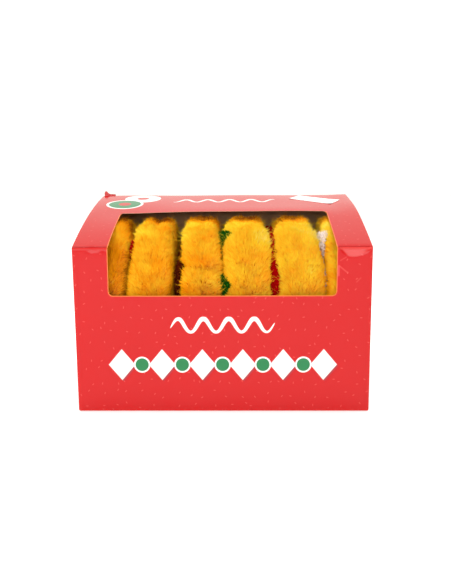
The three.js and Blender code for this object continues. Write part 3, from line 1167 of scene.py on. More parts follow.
# The section, its seam along the rim, and soft puffs round the ring.
SECTION_POWER = 2.7
SEAM_DEPTH = 1.2
SEAM_SPREAD = math.radians(9)
PUFF = 0.05
PUFF_WAVES = 5
RIM = math.pi / 2
CORE_STEPS = 72
CORE_SECTIONS = 32

# The sewn cover before it is stuffed: how far it lies below the pile, and what is held while it is blown up.
PILE_SINKS = (2.0, 1.6, 1.6, 1.6, 1.6, 0.8)
SIDE_SINK = 1.0
COVER_TUCK = 0.7
CREASE_TUCK = 2.2
SEWN_SPREAD = 0.12
CREASE_HOLD = 1.6
LEAST_HOLD = 0.02
CLOTH_QUALITY = 5
STUFFING_PRESSURE = 4.0
STUFFING_FRAMES = 20
STUFFING_CAP = 1.6

# Unevenness of the stuffing: the scales of two layers of noise, and how high they stand.
LUMP_SCALES = (0.055, 0.13)
LUMP_SHIFT = Vector((31.0, 17.0, 0.0))
LUMP_HEIGHT = 0.75

# The part of a ring that shows through the window: degrees round the ring, and the distance from its middle.
SEEN_FROM = (-14, -4)
SEEN_TO = (112, 126)
SEEN_RADII = (30, 40)
BARE_COVER = 0.12
LEAST_COVER = 0.002

# How the pile lies and how long it is.
PARTING_SPREAD = 0.2
PARTING_END = -0.3
PARTING_LEAN = 0.35
SWAY = 0.55
SWAY_LUMPS = 0.5
SWAY_SCALE = 0.7
SWAY_SEED = 20
FACE_NAP = 0.5
FACE_NAP_FROM = (0.5, 0.95)
PILE_LEAN = 1.15
PILE_STRAY = 1.0
CLUMP_SCALE = 170.0
CLUMP_STRAY = 2.0
WILD_STRAY = 0.22
TUFT_SCALE = 380.0
TUFT_HEIGHTS = (0.5, 1.0)
HEIGHT_DRAW = (0.7, 1.15)
THIN_POWER = -0.4
SPIKE_WIDTH = 0.0011
SPIKE_SIDES = 3
GUARD_SHARE = 0.07
GUARD_LENGTH = 0.7
GUARD_THIN = 0.55

# The pile's shades: where each stands between umber and cream, and how they change from patch to patch.
TINTS = 64
PALE_FROM = 0.65
UMBER_SPAN = 0.5
PATCH_SCALE = 70.0
PATCH_SPAN = 1.1
TINT_MIDDLE = 0.32
TINT_DRAW = 0.15
SWATCH_SIDE = (0.6, 0.4)
SWATCH_MARGIN = 0.03
# The foot of each tuft turns to the base colour, partly a painted shade among the tufts: how fast that fades
# up the tuft, and how much of the tip's shade the foot keeps.
FOOT_FADE = 1.9
FOOT_SHARE = 0.1
PILE_SHEEN = 0.05
KNIT_SHADE = 0.7

# Room kept between the pile and the end, front and back panels, the lid and the bottom.
PANEL_ROOM = 1.1
LID_ROOM = 1.6
BOTTOM_ROOM = 1.0

# How far the shoulders beside the rim swell, low down and near the top, on each doughnut.
LEFT_SWELLS = ((1.5, 1.5), (7.5, 5.0), (4.8, 4.8), (7.5, 7.5), (5.1, 5.4), (2.0, 2.4))
RIGHT_SWELLS = ((3.5, 3.4), (2.0, 0.8), (5.9, 3.3), (7.0, 6.2), (7.9, 4.9), (2.0, 2.0))
SWELL_RISE = (0.25, 0.8)
SWELL_FALL = (0.93, 1.0)
SWELL_HEIGHTS = (math.sin(math.radians(20)), math.sin(math.radians(65)))
LEFT_CROWN_CUTS = (0.85, 0.85, 0.5, 0.5, 0.75, 0.85)
RIGHT_CROWN_CUT = 0.85
LEFT_CROWN = (math.sin(math.radians(68)), math.sin(math.radians(88)))
RIGHT_CROWN = (math.sin(math.radians(58)), math.sin(math.radians(82)))

# On top of each doughnut the pile is thin along the seam. The seam sinks there by this depth, or stands up
# where it is below 0.
VALLEYS = (0.0, 1.7, -1.2, -1.1, -0.9, 0.0)
VALLEY_SPREAD = math.radians(17)
VALLEY_BARE = 0.7
VALLEY_NAP = 0.45
CROWN_HEIGHTS = (math.sin(math.radians(60)), math.sin(math.radians(80)))
CROWN_STAND = 0.7

# Paler and deeper plush: of each doughnut, towards its top, there towards its right, along the very top
# and on the faces. The deeper leftmost doughnut, the very top and the faces are painted shade, and the
# paling towards the top is a painted highlight.
# Painted shade: the leftmost doughnut is set deeper for the shade it sits in behind the window's left edge.
PALENESS = (-0.24, -0.1, -0.06, 0.02, 0.04, 0.0)
# Painted highlight: the pile pales towards the top of each ring, where it is lit.
PALE_TOP = 0.14
PALE_HEIGHTS = (math.sin(math.radians(32)), math.sin(math.radians(58)))
PALE_RIGHT = (0.0, -0.1, 0.0, 0.12, 0.4, 0.0)
# Painted shade: the pile turns umber along the very top, where the lid shades it.
CROWN_SHADE = 0.95
CROWN_SHADE_SPREAD = math.radians(45)
CROWN_SHADE_HEIGHTS = (math.sin(math.radians(75)), math.sin(math.radians(88)))
# Painted shade: the pile turns deeper on the faces low down, in the gaps between the doughnuts.
FACE_SHADE = 0.32
FACE_SHADE_FROM = (0.42, 0.72)
FACE_SHADE_HEIGHTS = (math.sin(math.radians(40)), math.sin(math.radians(70)))

# Tucks across the rim: the doughnut's number from 0, the angle round the ring in degrees, and the depth.
CREASES = {2: (31, 1.8), 0: (48, 1.0)}
CREASE_SKEW = 0.06
CREASE_SPREAD = 0.035
CREASE_LEFT = 0.6
CREASE_NAP = 0.5


def signed_power(value, power):
    """A power of the size of a value, with the value's sign."""
    return np.sign(value) * np.abs(value) ** power


def crown_share(around):
    """1 on top of a ring, 0 down its front and back."""
    return smooth_step(np.sin(around), *CROWN_HEIGHTS)


def valley_share(around, section):
    """1 in the valley along the seam on top of a ring."""
    return crown_share(around) * np.exp(-((section - RIM) / VALLEY_SPREAD) ** 2)


class Ring:
    """One doughnut: where it stands, and the point of its plush at an angle round the ring and one round
    the section. Round the ring, 0 is the front and 90 degrees the top. Round the section, 0 is the right
    face, 90 degrees the rim, 180 the iced left face and 270 the hole."""

    def __init__(self, index, settings):
        low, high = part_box(RING_NAMES[index])
        self.index = index
        self.name = RING_NAMES[index]
        self.x = (low.x + high.x) / 2 / MM
        self.half_width = (high.x - low.x) / 2 / MM
        self.z = (low.z + high.z) / 2 / MM
        self.icing = (low.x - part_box("icing_%d" % (index + 1))[0].x) / MM
        outer = settings.ring_diameter / MM
        hole = settings.hole_diameter / MM
        self.middle = (outer + hole) / 4
        self.span = (outer - hole) / 4
        self.rise = settings.ring_height / settings.ring_diameter

    def point(self, around, section, lift, side_sink=0.0):
        puff = 0.5 + 0.5 * np.sin(PUFF_WAVES * around + 2 * self.index)
        width = (self.half_width - side_sink) * (1 - PUFF * puff)
        across = signed_power(np.cos(section), 2 / SECTION_POWER)
        outward = signed_power(np.sin(section), 2 / SECTION_POWER)
        wrapped = section % (2 * np.pi)
        seam = SEAM_DEPTH * np.exp(-((wrapped - RIM) / SEAM_SPREAD) ** 2)
        seam = seam + VALLEYS[self.index] * valley_share(around, wrapped)
        normal_x = signed_power(across, SECTION_POWER - 1) / width
        normal_r = signed_power(outward, SECTION_POWER - 1) / self.span
        size = np.hypot(normal_x, normal_r)
        radius = self.middle + self.span * outward - seam + lift * normal_r / size
        x = self.x + width * across + self.swell(around, across, outward) + lift * normal_x / size
        return np.stack((x, -radius * np.cos(around), self.z + self.rise * radius * np.sin(around)), axis=-1)

    def swell(self, around, across, outward):
        """How far the shoulder stands out past the plain section, to the right or the left."""
        high = smooth_step(np.sin(around), *SWELL_HEIGHTS)
        shoulder = smooth_step(outward, *SWELL_RISE) * (1 - smooth_step(outward, *SWELL_FALL))
        left_low, left_high = LEFT_SWELLS[self.index]
        left = left_low + (left_high - left_low) * high
        left = left * (1 - LEFT_CROWN_CUTS[self.index] * smooth_step(np.sin(around), *LEFT_CROWN))
        right_low, right_high = RIGHT_SWELLS[self.index]
        right = right_low + (right_high - right_low) * high
        right = right * (1 - RIGHT_CROWN_CUT * smooth_step(np.sin(around), *RIGHT_CROWN))
        return shoulder * np.where(across > 0, right, -left)


def ring_grid(steps, sections):
    """Angles round the ring and round the section, as two arrays of the same shape."""
    around = np.linspace(0, 2 * np.pi, steps, endpoint=False)
    section = np.linspace(0, 2 * np.pi, sections, endpoint=False)
    return np.meshgrid(around, section, indexing="ij")


def loop_mesh(name, grid):
    """A closed mesh of a grid of points that joins up both ways."""
    rows, columns = grid.shape[:2]
    index = np.arange(rows * columns).reshape(rows, columns)
    right = np.roll(index, -1, axis=1)
    faces = np.stack((index, right, np.roll(right, -1, axis=0), np.roll(index, -1, axis=0)), axis=-1)
    mesh = bpy.data.meshes.new(name)
    mesh.from_pydata((grid.reshape(-1, 3) * MM).tolist(), [], faces.reshape(-1, 4).tolist())
    face_outward(mesh)
    mesh.shade_smooth()
    return mesh


def refined(grid):
    """The grid with a smooth new point between each two neighbours, both ways."""
    for axis in (0, 1):
        near = grid + np.roll(grid, -1, axis)
        middle = (9 * near - np.roll(grid, 1, axis) - np.roll(grid, -2, axis)) / 16
        shape = list(grid.shape)
        shape[axis] *= 2
        grid = np.stack((grid, middle), axis=axis + 1).reshape(shape)
    return grid


def grid_normals(grid):
    """The outward direction at each point of a grid, and the steps along its two ways."""
    along = np.roll(grid, -1, 0) - np.roll(grid, 1, 0)
    across = np.roll(grid, -1, 1) - np.roll(grid, 1, 1)
    normal = np.cross(across, along)
    return normal / np.linalg.norm(normal, axis=-1, keepdims=True), along, across


def crease_depth(ring, around, section):
    """How deep a tuck across the rim pulls the plush in."""
    if ring.index not in CREASES:
        return np.zeros_like(around)
    angle, depth = CREASES[ring.index]
    skew = math.radians(angle) - CREASE_SKEW * np.cos(section)
    left = np.clip(CREASE_LEFT - np.cos(section), 0, 1)
    return depth * np.exp(-((around - skew) / CREASE_SPREAD) ** 2) * np.clip(np.sin(section), 0, 1) * left


def sewn_cover(ring):
    """A doughnut's cover before it is stuffed: the piece with its cloth, and its grid of points."""
    around, section = ring_grid(CORE_STEPS, CORE_SECTIONS)
    tuck = crease_depth(ring, around, section)
    grid = ring.point(around, section, -PILE_SINKS[ring.index] - COVER_TUCK - CREASE_TUCK * tuck, SIDE_SINK)
    piece = new_piece(ring.name + "_cover", loop_mesh(ring.name + "_cover", grid))
    held = piece.vertex_groups.new(name="sewn")
    sewn = np.maximum(np.exp(-((section - RIM) / SEWN_SPREAD) ** 2), np.clip(tuck * CREASE_HOLD, 0, 1))
    for vertex, weight in enumerate(sewn.ravel()):
        if weight > LEAST_HOLD:
            held.add([vertex], float(weight), "REPLACE")
    cloth = piece.modifiers.new("Stuffing", "CLOTH")
    cloth.settings.quality = CLOTH_QUALITY
    cloth.settings.use_pressure = True
    cloth.settings.uniform_pressure_force = STUFFING_PRESSURE
    cloth.settings.effector_weights.gravity = 0
    cloth.settings.vertex_group_mass = "sewn"
    cloth.point_cache.frame_end = STUFFING_FRAMES
    return piece, grid


def stuffed_grids(rings):
    """Each doughnut's cover blown up from a smaller sewn ring, held at its seam, as grids of points."""
    covers = [sewn_cover(ring) for ring in rings]
    scene = bpy.context.scene
    for step in range(1, STUFFING_FRAMES + 1):
        scene.frame_set(step)
    graph = bpy.context.evaluated_depsgraph_get()
    grids = []
    for piece, start in covers:
        blown = point_places(piece.evaluated_get(graph).data)
        moved = blown.reshape(start.shape) / MM - start
        size = np.linalg.norm(moved, axis=-1, keepdims=True)
        grids.append(start + moved * np.minimum(1, STUFFING_CAP / np.maximum(size, 1e-6)))
        mesh = piece.data
        bpy.data.objects.remove(piece)
        bpy.data.meshes.remove(mesh)
    scene.frame_set(1)
    return grids


def lumps(grid, seed):
    """Soft unevenness of the stuffing at each point of a grid."""
    shift = LUMP_SHIFT * seed
    large, small = LUMP_SCALES
    values = [noise.noise(Vector(p) * large + shift) + 0.5 * noise.noise(Vector(p) * small - shift)
              for p in grid.reshape(-1, 3)]
    return np.array(values).reshape(grid.shape[:2])


def in_window_share(ring, grid):
    """1 where the plush faces the window's side of the carton, fading to 0 behind and below."""
    radius = np.hypot(grid[..., 1], grid[..., 2] - ring.z)
    around = np.degrees(np.arctan2(grid[..., 2] - ring.z, -grid[..., 1]))
    facing = smooth_step(around, *SEEN_FROM) * (1 - smooth_step(around, *SEEN_TO))
    return facing * smooth_step(radius, *SEEN_RADII)


def pile_flow(ring, around, section, grid):
    """The way the pile lies: up the ring, parted along the seam, and upright on top."""
    _, along, across = grid_normals(grid)
    parting = np.tanh((section - RIM) / PARTING_SPREAD) * (np.cos(section - RIM) > PARTING_END)
    up = along / np.linalg.norm(along, axis=-1, keepdims=True)
    out = across / np.linalg.norm(across, axis=-1, keepdims=True)
    sway = SWAY + SWAY_LUMPS * lumps(grid * SWAY_SCALE, ring.index + SWAY_SEED)
    flow = out * (parting * PARTING_LEAN)[..., None] + up * sway[..., None]
    return flow * (1 - CROWN_STAND * crown_share(around))[..., None]


def pile_paleness(ring, around, section):
    """How much paler than the middle shade the pile is, or deeper where this is below 0. The deeper crown and
    faces are painted shade, and the paling towards the top is a painted highlight.
    """
    high = np.sin(around)
    pale = PALE_TOP + PALE_RIGHT[ring.index] * np.cos(section)
    pale = PALENESS[ring.index] + pale * smooth_step(high, *PALE_HEIGHTS)
    # Painted shade along the crown, where the lid shades the tops, and on the faces low down, in the gaps
    # between the doughnuts.
    crown = smooth_step(high, *CROWN_SHADE_HEIGHTS) * np.exp(-((section - RIM) / CROWN_SHADE_SPREAD) ** 2)
    low = 1 - smooth_step(high, *FACE_SHADE_HEIGHTS)
    face = low * smooth_step(np.abs(np.cos(section)), *FACE_SHADE_FROM)
    return pale - CROWN_SHADE * crown - FACE_SHADE * face


def plush_core(ring, blown):
    """The cover of one doughnut under its pile, with the way the pile lies and how thick it grows."""
    grid = refined(blown)
    normal, _, _ = grid_normals(grid)
    grid = grid + normal * (LUMP_HEIGHT * lumps(grid, ring.index))[..., None]
    around, section = ring_grid(2 * CORE_STEPS, 2 * CORE_SECTIONS)
    valley = valley_share(around, section)
    crease = np.clip(crease_depth(ring, around, section), 0, 1)
    nap = 1 - FACE_NAP * smooth_step(np.abs(np.cos(section)), *FACE_NAP_FROM)
    nap = nap * (1 - VALLEY_NAP * valley) * (1 - CREASE_NAP * crease)
    rim = icing_rim(ring, around)
    iced = smooth_step(section, rim, rim + ICING_BARE) * (section < ICING_HOLE)
    seen = in_window_share(ring, grid)
    cover = (BARE_COVER + (1 - BARE_COVER) * seen) * (1 - VALLEY_BARE * valley) * (1 - iced)
    mesh = loop_mesh(ring.name + "_core", grid)
    store(mesh, "cover", "FLOAT", np.maximum(cover, LEAST_COVER))
    store(mesh, "flow", "FLOAT_VECTOR", pile_flow(ring, around, section, grid))
    store(mesh, "nap", "FLOAT", nap)
    store(mesh, "pale", "FLOAT", pile_paleness(ring, around, section))
    return mesh


# The pile, by Geometry Nodes

class PileTree(Graph):
    """A node group that grows tufts over a surface: thin closed spikes that lean along the stored flow and
    stray in clumps."""

    sizes = ("Tufts", "Length", "Width", "Lean", "Stray")

    def __init__(self, name, material):
        super().__init__(bpy.data.node_groups.new(name, "GeometryNodeTree"))
        self.tree.is_modifier = True
        face = self.tree.interface
        face.new_socket("Surface", in_out="INPUT", socket_type="NodeSocketGeometry")
        for label in self.sizes:
            face.new_socket(label, in_out="INPUT", socket_type="NodeSocketFloat")
        face.new_socket("Seed", in_out="INPUT", socket_type="NodeSocketInt")
        face.new_socket("Pile", in_out="OUTPUT", socket_type="NodeSocketGeometry")
        self.given = self.node("NodeGroupInput").outputs
        self.number = {label: Field(self, self.given[label]) for label in self.sizes}
        self.place = self.node("GeometryNodeInputPosition").outputs[0]
        self.cover = self.stored("cover")
        points = self.node("GeometryNodeDistributePointsOnFaces", {"distribute_method": "RANDOM"}, {
            "Mesh": self.given["Surface"], "Density": self.cover * self.number["Tufts"],
            "Seed": self.given["Seed"]})
        tufts = self.node("GeometryNodeInstanceOnPoints", None, {
            "Points": self.keep(points.outputs["Points"], "level", self.level()), "Instance": self.spike(),
            "Rotation": self.turn(points.outputs["Normal"]), "Scale": self.scale()}).outputs[0]
        pile = self.node("GeometryNodeRealizeInstances", None, {"Geometry": tufts}).outputs[0]
        pile = self.keep(pile, "OFBake", self.swatch(), "FLOAT2", "CORNER")
        pile = self.node("GeometryNodeSetMaterial", None, {"Geometry": pile, "Material": material}).outputs[0]
        self.node("NodeGroupOutput", None, {"Pile": pile})

    def stored(self, attribute, kind="FLOAT"):
        """A value that the surface or the spikes carry."""
        return self.field("GeometryNodeInputNamedAttribute", {"data_type": kind}, {"Name": attribute})

    def keep(self, geometry, attribute, value, kind="FLOAT", domain="POINT"):
        """The geometry with a value stored on it."""
        return self.node("GeometryNodeStoreNamedAttribute", {"data_type": kind, "domain": domain}, {
            "Geometry": geometry, "Name": attribute, "Value": value}).outputs[0]

    def noise(self, scale, detail):
        return self.node("ShaderNodeTexNoise", None, {"Vector": self.place, "Scale": scale, "Detail": detail})

    def draw(self, low, high, step):
        """A random number for each tuft. Each step is a draw of its own."""
        seed = Field(self, self.given["Seed"]) + float(step)
        node = self.node("FunctionNodeRandomValue", {"data_type": "FLOAT"}, {
            "Min_001": low, "Max_001": high, "Seed": seed})
        return Field(self, next(s for s in node.outputs if s.identifier == "Value_001"))

    def turn(self, normal):
        """The rotation that leans a tuft along the flow, with its clump and a little by itself."""
        stray = self.vector_math("SUBTRACT", self.noise(CLUMP_SCALE, 2.0).outputs["Color"], (0.5, 0.5, 0.5))
        wild = self.node("FunctionNodeRandomValue", {"data_type": "FLOAT_VECTOR"}, {
            "Min": (-1, -1, -1), "Max": (1, 1, 1), "Seed": self.given["Seed"]}).outputs[0]
        lean = self.vector_math("ADD", normal, self.scaled(
            self.stored("flow", "FLOAT_VECTOR"), self.number["Lean"]))
        lean = self.vector_math("ADD", lean, self.scaled(stray, self.number["Stray"] * CLUMP_STRAY))
        lean = self.vector_math("ADD", lean, self.scaled(wild, self.number["Stray"] * WILD_STRAY))
        return self.node("FunctionNodeAlignRotationToVector", {"axis": "Z"}, {"Vector": lean}).outputs[0]

    def level(self):
        """The number of a tuft's shade, from 0, the deepest, up."""
        patch = Field(self, self.noise(PATCH_SCALE, 3.0).outputs[0])
        tint = (patch - 0.5) * PATCH_SPAN + TINT_MIDDLE
        tint = tint + self.draw(-TINT_DRAW, TINT_DRAW, 1) + self.stored("pale")
        return (((tint + UMBER_SPAN) / (1 + UMBER_SPAN)).clamped() * (TINTS - 1) + 0.5).floor()

    def scale(self):
        """A tuft's width and length. Sparse tufts are wider, and a few thin guard hairs are longer."""
        guard = self.draw(0.0, 1.0, 3).math("LESS_THAN", GUARD_SHARE)
        wide = self.number["Width"] * self.cover ** THIN_POWER * (1 - guard * GUARD_THIN)
        tall = self.number["Length"] * self.stored("nap") * self.draw(*HEIGHT_DRAW, 2)
        tall = tall * (guard * GUARD_LENGTH + 1.0)
        tuft = Field(self, self.noise(TUFT_SCALE, 0.0).outputs[0])
        tall = tall * (tuft * TUFT_HEIGHTS[1] + TUFT_HEIGHTS[0])
        return self.vector(wide, wide, tall)

    def spike(self):
        """A spike of unit height that stores each point's height and side."""
        spike = self.node("GeometryNodeMeshCone", {"fill_type": "NGON"}, {
            "Vertices": SPIKE_SIDES, "Radius Top": 0.0, "Radius Bottom": 0.5, "Depth": 1.0}).outputs["Mesh"]
        x, y, z = self.parts(self.place)
        spike = self.keep(spike, "height", z)
        return self.keep(spike, "side", x * SWATCH_SIDE[0] + y * SWATCH_SIDE[1])

    def swatch(self):
        """Where a point lies on a picture of the pile's shades that may be baked: a column for each shade,
        from foot to tip.
        """
        across = (self.stored("level") + 0.5 + self.stored("side")) / TINTS
        up = self.stored("height") * (1 - 2 * SWATCH_MARGIN) + SWATCH_MARGIN
        return self.vector(across, up, 0.0)


def keep_inside(mesh, shape):
    """Presses pile that would come through the card flat against its inner face."""
    places = point_places(mesh) / MM
    room = CARTON_WIDTH / 2 - PANEL_ROOM, shape.half - PANEL_ROOM
    for axis, limit in enumerate(room):
        places[:, axis] = np.clip(places[:, axis], -limit, limit)
    places[:, 2] = np.clip(places[:, 2], BOTTOM_ROOM, shape.lid_height(places[:, 1]) - LID_ROOM)
    mesh.vertices.foreach_set("co", (places * MM).ravel())
    mesh.update()


def grow_pile(core, name, tree, shape, **inputs):
    """The pile over a core, as a plain mesh of its own."""
    pile = new_piece(name, core.data.copy())
    nodes = pile.modifiers.new("Pile", "NODES")
    nodes.node_group = tree
    for socket in tree.interface.items_tree:
        if socket.in_out == "INPUT" and socket.name in inputs:
            nodes[socket.identifier] = inputs[socket.name]
    settle(pile)
    keep_inside(pile.data, shape)
    pile.data.name = name
    return pile


def pile_finish(name, shades, base, sheen):
    """Dyed pile: darker at the foot, partly a painted shade among the tufts, and four shades among the tips,
    the deepest first. On the yellow pile the deepest is the painted shade of the tops and gaps.
    """
    finish = Finish(name, roughness=0.85, specular_ior_level=0.05, sheen_weight=sheen, sheen_roughness=0.5)
    tint = finish.attribute("level") * ((1 + UMBER_SPAN) / (TINTS - 1)) - UMBER_SPAN
    height = finish.attribute("height")
    deepest, deep, bright, palest = shades
    ends = finish.mix((tint / UMBER_SPAN + 1).clamped(), deepest, deep)
    ends = finish.mix((tint / PALE_FROM).clamped(), ends, bright)
    ends = finish.mix(((tint - PALE_FROM) / (1 - PALE_FROM)).clamped(), ends, palest)
    finish.feed_shader("Base Color", finish.mix((height * FOOT_FADE + FOOT_SHARE).clamped(), base, ends))
    return finish.material


def backing_finish(name, colour):
    """The knitted backing that shows between the tufts."""
    finish = Finish(name, roughness=0.95, specular_ior_level=0.05)
    place = finish.object_place()
    loops = finish.noise(place, scale=800.0, detail=3.0, roughness=0.6)
    finish.feed_shader("Base Color", finish.mix(loops, shaded(colour, KNIT_SHADE), colour))
    finish.bump(loops, strength=0.4, distance=0.0004)
    return finish.material


class DOUGHNUT_OT_rings(bpy.types.Operator):
    """Stuffs the six plush doughnuts and grows their yellow pile"""

    bl_idname = "doughnut_box.rings"
    bl_label = "Plush doughnuts"

    def execute(self, context):
        settings = context.scene.doughnut_plush
        shape = CartonShape(context.scene.doughnut_carton)
        rings = [Ring(i, settings) for i in range(len(RING_NAMES))]
        backing = backing_finish("plush_backing", settings.backing[:])
        shades = settings.umber[:], settings.golden[:], settings.tip[:], settings.cream[:]
        pile_material = pile_finish("plush_pile", shades, settings.base[:], PILE_SHEEN)
        tree = PileTree("Plush pile", pile_material).tree
        for ring, blown in zip(rings, stuffed_grids(rings)):
            core = new_piece("plush_core_%d" % (ring.index + 1), plush_core(ring, blown), backing)
            pile = grow_pile(
                core, "plush_pile_%d" % (ring.index + 1), tree, shape, Tufts=settings.tufts / MM ** 2,
                Length=settings.pile_length, Width=SPIKE_WIDTH, Lean=PILE_LEAN, Stray=PILE_STRAY,
                Seed=settings.seed + ring.index)
            keep_inside(core.data, shape)
            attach(core, ROOT)
            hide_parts(ring.name)
            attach(pile, ROOT)
        return {"FINISHED"}


# The icing

# The pad: its place over the plush, its lobes and its mesh. The reach of the lobes is in degrees round the
# section, and where there are six values, they are for the doughnuts from the left.
ICING_GAP = 0.2
ICING_PILE_STANDS = 1.0
ICING_EDGE_SHARE = 0.35
ICING_LOBES = 9
ICING_STEPS = 144
ICING_TOP_ROWS = 18
ICING_UNDER_ROWS = 10
ICING_HOLE = math.radians(232)
ICING_RIM = math.radians(182)
ICING_REACHES = (26, 42, 38, 72, 60, 52)
ICING_LOBE_POWER = 1.5
ICING_UNEVEN = (0.25, 0.25, 0.25, -0.01, 0.1, 0.25)
ICING_UNEVEN_WAVES = 4
ICING_CROWN = 0.4
ICING_FLOORS = (0.0, 0.0, 0.5, 0.0, 0.78, 0.45)
ICING_BARE = math.radians(9)
ICING_UNDER = 1.2
ICING_CROWN_POWER = 4

# The icing's pile.
ICING_TUFTS = 0.5
ICING_SPIKE_WIDTH = 0.0012
ICING_LEAN = 0.5
ICING_STRAY = 0.9
ICING_SEED = 40

# Power and share that make the deeper shades of an icing's colour: at the foot of its pile, partly a painted
# shade among the tufts, and at its tips.
ICING_FOOT_SHADE = (1.5, 0.8)
ICING_TIP_SHADE = (1.2, 0.9)


def deepened(colour, power, share):
    """A deeper and more saturated shade of a colour."""
    return tuple(c ** power * share for c in colour)


def icing_rim(ring, around):
    """How far round the section the icing starts, lobe by lobe."""
    past = around - math.radians(ICING_TURNS[ring.index])
    floor = ICING_FLOORS[ring.index]
    lobe = floor + (1 - floor) * np.abs(np.cos(ICING_LOBES / 2 * past)) ** ICING_LOBE_POWER
    uneven = 1 + ICING_UNEVEN[ring.index] * np.cos(ICING_UNEVEN_WAVES * past)
    reach = math.radians(ICING_REACHES[ring.index]) * uneven * (1 - ICING_CROWN * crown_share(around))
    return ICING_RIM - reach * lobe


def icing_grid(ring):
    """The scalloped pad of icing on a doughnut's left face: its face first, then back underneath."""
    around = np.linspace(0, 2 * np.pi, ICING_STEPS, endpoint=False)[:, None]
    rim = icing_rim(ring, around)
    thick = ring.icing - ICING_PILE_STANDS
    top = np.linspace(0, 1, ICING_TOP_ROWS)[None, :]
    under = np.linspace(1, 0, ICING_UNDER_ROWS + 2)[None, 1:-1]
    crown = ICING_EDGE_SHARE + (1 - ICING_EDGE_SHARE) * (1 - (2 * top - 1) ** ICING_CROWN_POWER)
    share = np.concatenate((top, under), axis=1)
    lift = np.concatenate((ICING_GAP + thick * crown, np.full_like(under, ICING_GAP - ICING_UNDER)), axis=1)
    section = rim + (ICING_HOLE - rim) * share
    return ring.point(np.broadcast_to(around, section.shape), section, np.broadcast_to(lift, section.shape))


class DOUGHNUT_OT_icing(bpy.types.Operator):
    """Lays the scalloped plush icing on each doughnut"""

    bl_idname = "doughnut_box.icing"
    bl_label = "Plush icing"

    def execute(self, context):
        settings = context.scene.doughnut_plush
        shape = CartonShape(context.scene.doughnut_carton)
        trees = {}
        for index, slot in enumerate(ICING_SLOTS):
            ring = Ring(index, settings)
            colour = getattr(settings, slot)[:]
            if slot not in trees:
                # The darker foot of the icing pile is partly painted shade among the tufts; the same shade is
                # its backing.
                dark = deepened(colour, *ICING_FOOT_SHADE)
                deep = deepened(colour, *ICING_TIP_SHADE)
                finish = pile_finish(slot + "_pile", (deep, deep, colour, colour), dark, 0.0)
                trees[slot] = PileTree(slot + " pile", finish).tree, backing_finish(slot + "_backing", dark)
            tree, backing = trees[slot]
            grid = icing_grid(ring)
            mesh = loop_mesh("icing_core_%d" % (index + 1), grid)
            _, _, across = grid_normals(grid)
            face = np.zeros(grid.shape[:2])
            face[:, :ICING_TOP_ROWS] = 1
            store(mesh, "cover", "FLOAT", face)
            store(mesh, "nap", "FLOAT", np.ones_like(face))
            store(mesh, "pale", "FLOAT", np.zeros_like(face))
            store(mesh, "flow", "FLOAT_VECTOR", -across / np.linalg.norm(across, axis=-1, keepdims=True))
            core = new_piece("icing_core_%d" % (index + 1), mesh, backing)
            pile = grow_pile(
                core, "icing_pile_%d" % (index + 1), tree, shape, Tufts=ICING_TUFTS / MM ** 2,
                Length=settings.icing_pile, Width=ICING_SPIKE_WIDTH, Lean=ICING_LEAN, Stray=ICING_STRAY,
                Seed=settings.seed + ICING_SEED + index)
            keep_inside(core.data, shape)
            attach(core, ROOT)
            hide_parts("icing_%d" % (index + 1))
            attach(pile, ROOT)
        return {"FINISHED"}


# The stage

FLOOR_HALF = 4.0
FLOOR_FLECK = (0.8, 0.8, 0.8)
FLOOR_FLECK_MIX = 0.04
CLIP_START = 0.01
SKY_TINT = (1.0, 1.0, 0.93)
SKY_SLOPE = 1.5
SKY_SHIFT = 0.6
KEY_PLACE = (-0.32, -1.35, 0.5)
KEY_SIZE = (1.7, 0.6)
KEY_AIM = (0.0, -0.03, 0.06)
TOP_PLACE = (0.0, 0.05, 1.33)
TOP_SIZE = (1.0, 0.7)
TOP_AIM = (0.0, 0.0, 0.13)


def camera_matrix(stage):
    """The camera's axes and place, from its yaw, pitch and roll."""
    yaw, pitch, roll = stage.yaw, stage.pitch, stage.roll
    right = Vector((math.cos(yaw), math.sin(yaw), 0))
    level = math.cos(pitch)
    ahead = Vector((-math.sin(yaw) * level, math.cos(yaw) * level, -math.sin(pitch)))
    up = right.cross(ahead)
    aside = math.cos(roll) * right + math.sin(roll) * up
    upright = -math.sin(roll) * right + math.cos(roll) * up
    turn = Matrix((aside, upright, -ahead)).transposed().to_4x4()
    return Matrix.Translation(Vector(stage.place)) @ turn


def sky(stage):
    """A bright backdrop behind the object, and a dimmer room behind the camera."""
    world = bpy.data.worlds.new("studio")
    bpy.context.scene.world = world
    world.use_nodes = True
    graph = Graph(world.node_tree)
    direction = graph.node("ShaderNodeTexCoord").outputs["Generated"]
    _, back, _ = graph.parts(direction)
    share = (back * SKY_SLOPE + SKY_SHIFT).clamped()
    level = share * (stage.back_sky - stage.front_sky) + stage.front_sky
    background = next(n for n in graph.tree.nodes if n.type == "BACKGROUND")
    graph.feed(background, "Strength", level)
    graph.feed(background, "Color", SKY_TINT)


def soft_light(name, power, place, size, aim):
    """A rectangular lamp that faces a point."""
    lamp = bpy.data.lights.new(name, "AREA")
    lamp.energy = power
    lamp.shape = "RECTANGLE"
    lamp.size, lamp.size_y = size
    light = bpy.data.objects.new(name, lamp)
    light.location = place
    light.rotation_euler = (Vector(aim) - Vector(place)).to_track_quat("-Z", "Y").to_euler()
    bpy.context.scene.collection.objects.link(light)
    return light


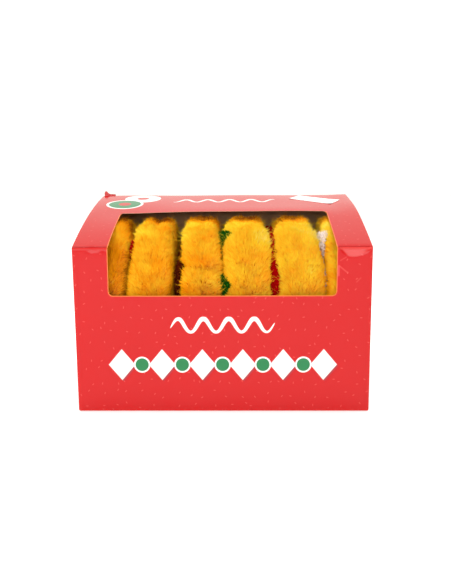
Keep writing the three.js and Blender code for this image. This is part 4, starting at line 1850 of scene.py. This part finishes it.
class DOUGHNUT_OT_stage(bpy.types.Operator):
    """Sets the camera, the lights and the floor"""

    bl_idname = "doughnut_box.stage"
    bl_label = "Stage"

    def execute(self, context):
        scene = context.scene
        stage = scene.doughnut_stage
        scene.view_settings.view_transform = "Standard"
        lens = bpy.data.cameras.new("camera")
        lens.sensor_width = SENSOR
        lens.lens = stage.focal / PHOTO_LONG_SIDE * SENSOR
        lens.clip_start = CLIP_START
        camera = bpy.data.objects.new("camera", lens)
        camera.matrix_world = camera_matrix(stage)
        scene.collection.objects.link(camera)
        scene.camera = camera
        sky(stage)
        soft_light("key", stage.key, KEY_PLACE, KEY_SIZE, KEY_AIM)
        soft_light("top", stage.top, TOP_PLACE, TOP_SIZE, TOP_AIM).visible_glossy = False
        mesh = bpy.data.meshes.new("floor")
        corners = [(x * FLOOR_HALF, y * FLOOR_HALF, 0) for x, y in ((-1, -1), (1, -1), (1, 1), (-1, 1))]
        mesh.from_pydata(corners, [], [(0, 1, 2, 3)])
        finish = Finish("floor", roughness=0.9, emission_color=(1, 1, 1), emission_strength=stage.floor_glow)
        fleck = finish.noise(finish.object_place(), scale=40.0)
        finish.feed_shader("Base Color", finish.mix(fleck * FLOOR_FLECK_MIX, stage.floor[:], FLOOR_FLECK))
        floor = new_piece("floor", mesh, finish.material)
        return {"FINISHED"}


class DOUGHNUT_PT_panel(bpy.types.Panel):
    """Lists the pieces of the box and their settings"""

    bl_idname = "DOUGHNUT_PT_panel"
    bl_label = "Box of doughnuts"
    bl_space_type = "VIEW_3D"
    bl_region_type = "UI"
    bl_category = "Doughnuts"

    def draw(self, context):
        for operator in OPERATORS:
            self.layout.operator(operator.bl_idname)
        scene = context.scene
        for settings in (scene.doughnut_carton, scene.doughnut_plush, scene.doughnut_stage):
            column = self.layout.column()
            for name in settings.__annotations__:
                column.prop(settings, name)


OPERATORS = (
    DOUGHNUT_OT_stage, DOUGHNUT_OT_carton, DOUGHNUT_OT_sticker, DOUGHNUT_OT_rings, DOUGHNUT_OT_icing)
CLASSES = (CartonSettings, PlushSettings, StageSettings, *OPERATORS, DOUGHNUT_PT_panel)


def register():
    for kind in CLASSES:
        bpy.utils.register_class(kind)
    bpy.types.Scene.doughnut_carton = PointerProperty(type=CartonSettings)
    bpy.types.Scene.doughnut_plush = PointerProperty(type=PlushSettings)
    bpy.types.Scene.doughnut_stage = PointerProperty(type=StageSettings)


def unregister():
    del bpy.types.Scene.doughnut_stage
    del bpy.types.Scene.doughnut_plush
    del bpy.types.Scene.doughnut_carton
    for kind in reversed(CLASSES):
        bpy.utils.unregister_class(kind)


def main():
    """Builds the stage and every piece."""
    register()
    bpy.ops.doughnut_box.stage()
    bpy.ops.doughnut_box.carton()
    bpy.ops.doughnut_box.sticker()
    bpy.ops.doughnut_box.rings()
    bpy.ops.doughnut_box.icing()


if __name__ == "__main__":
    main()
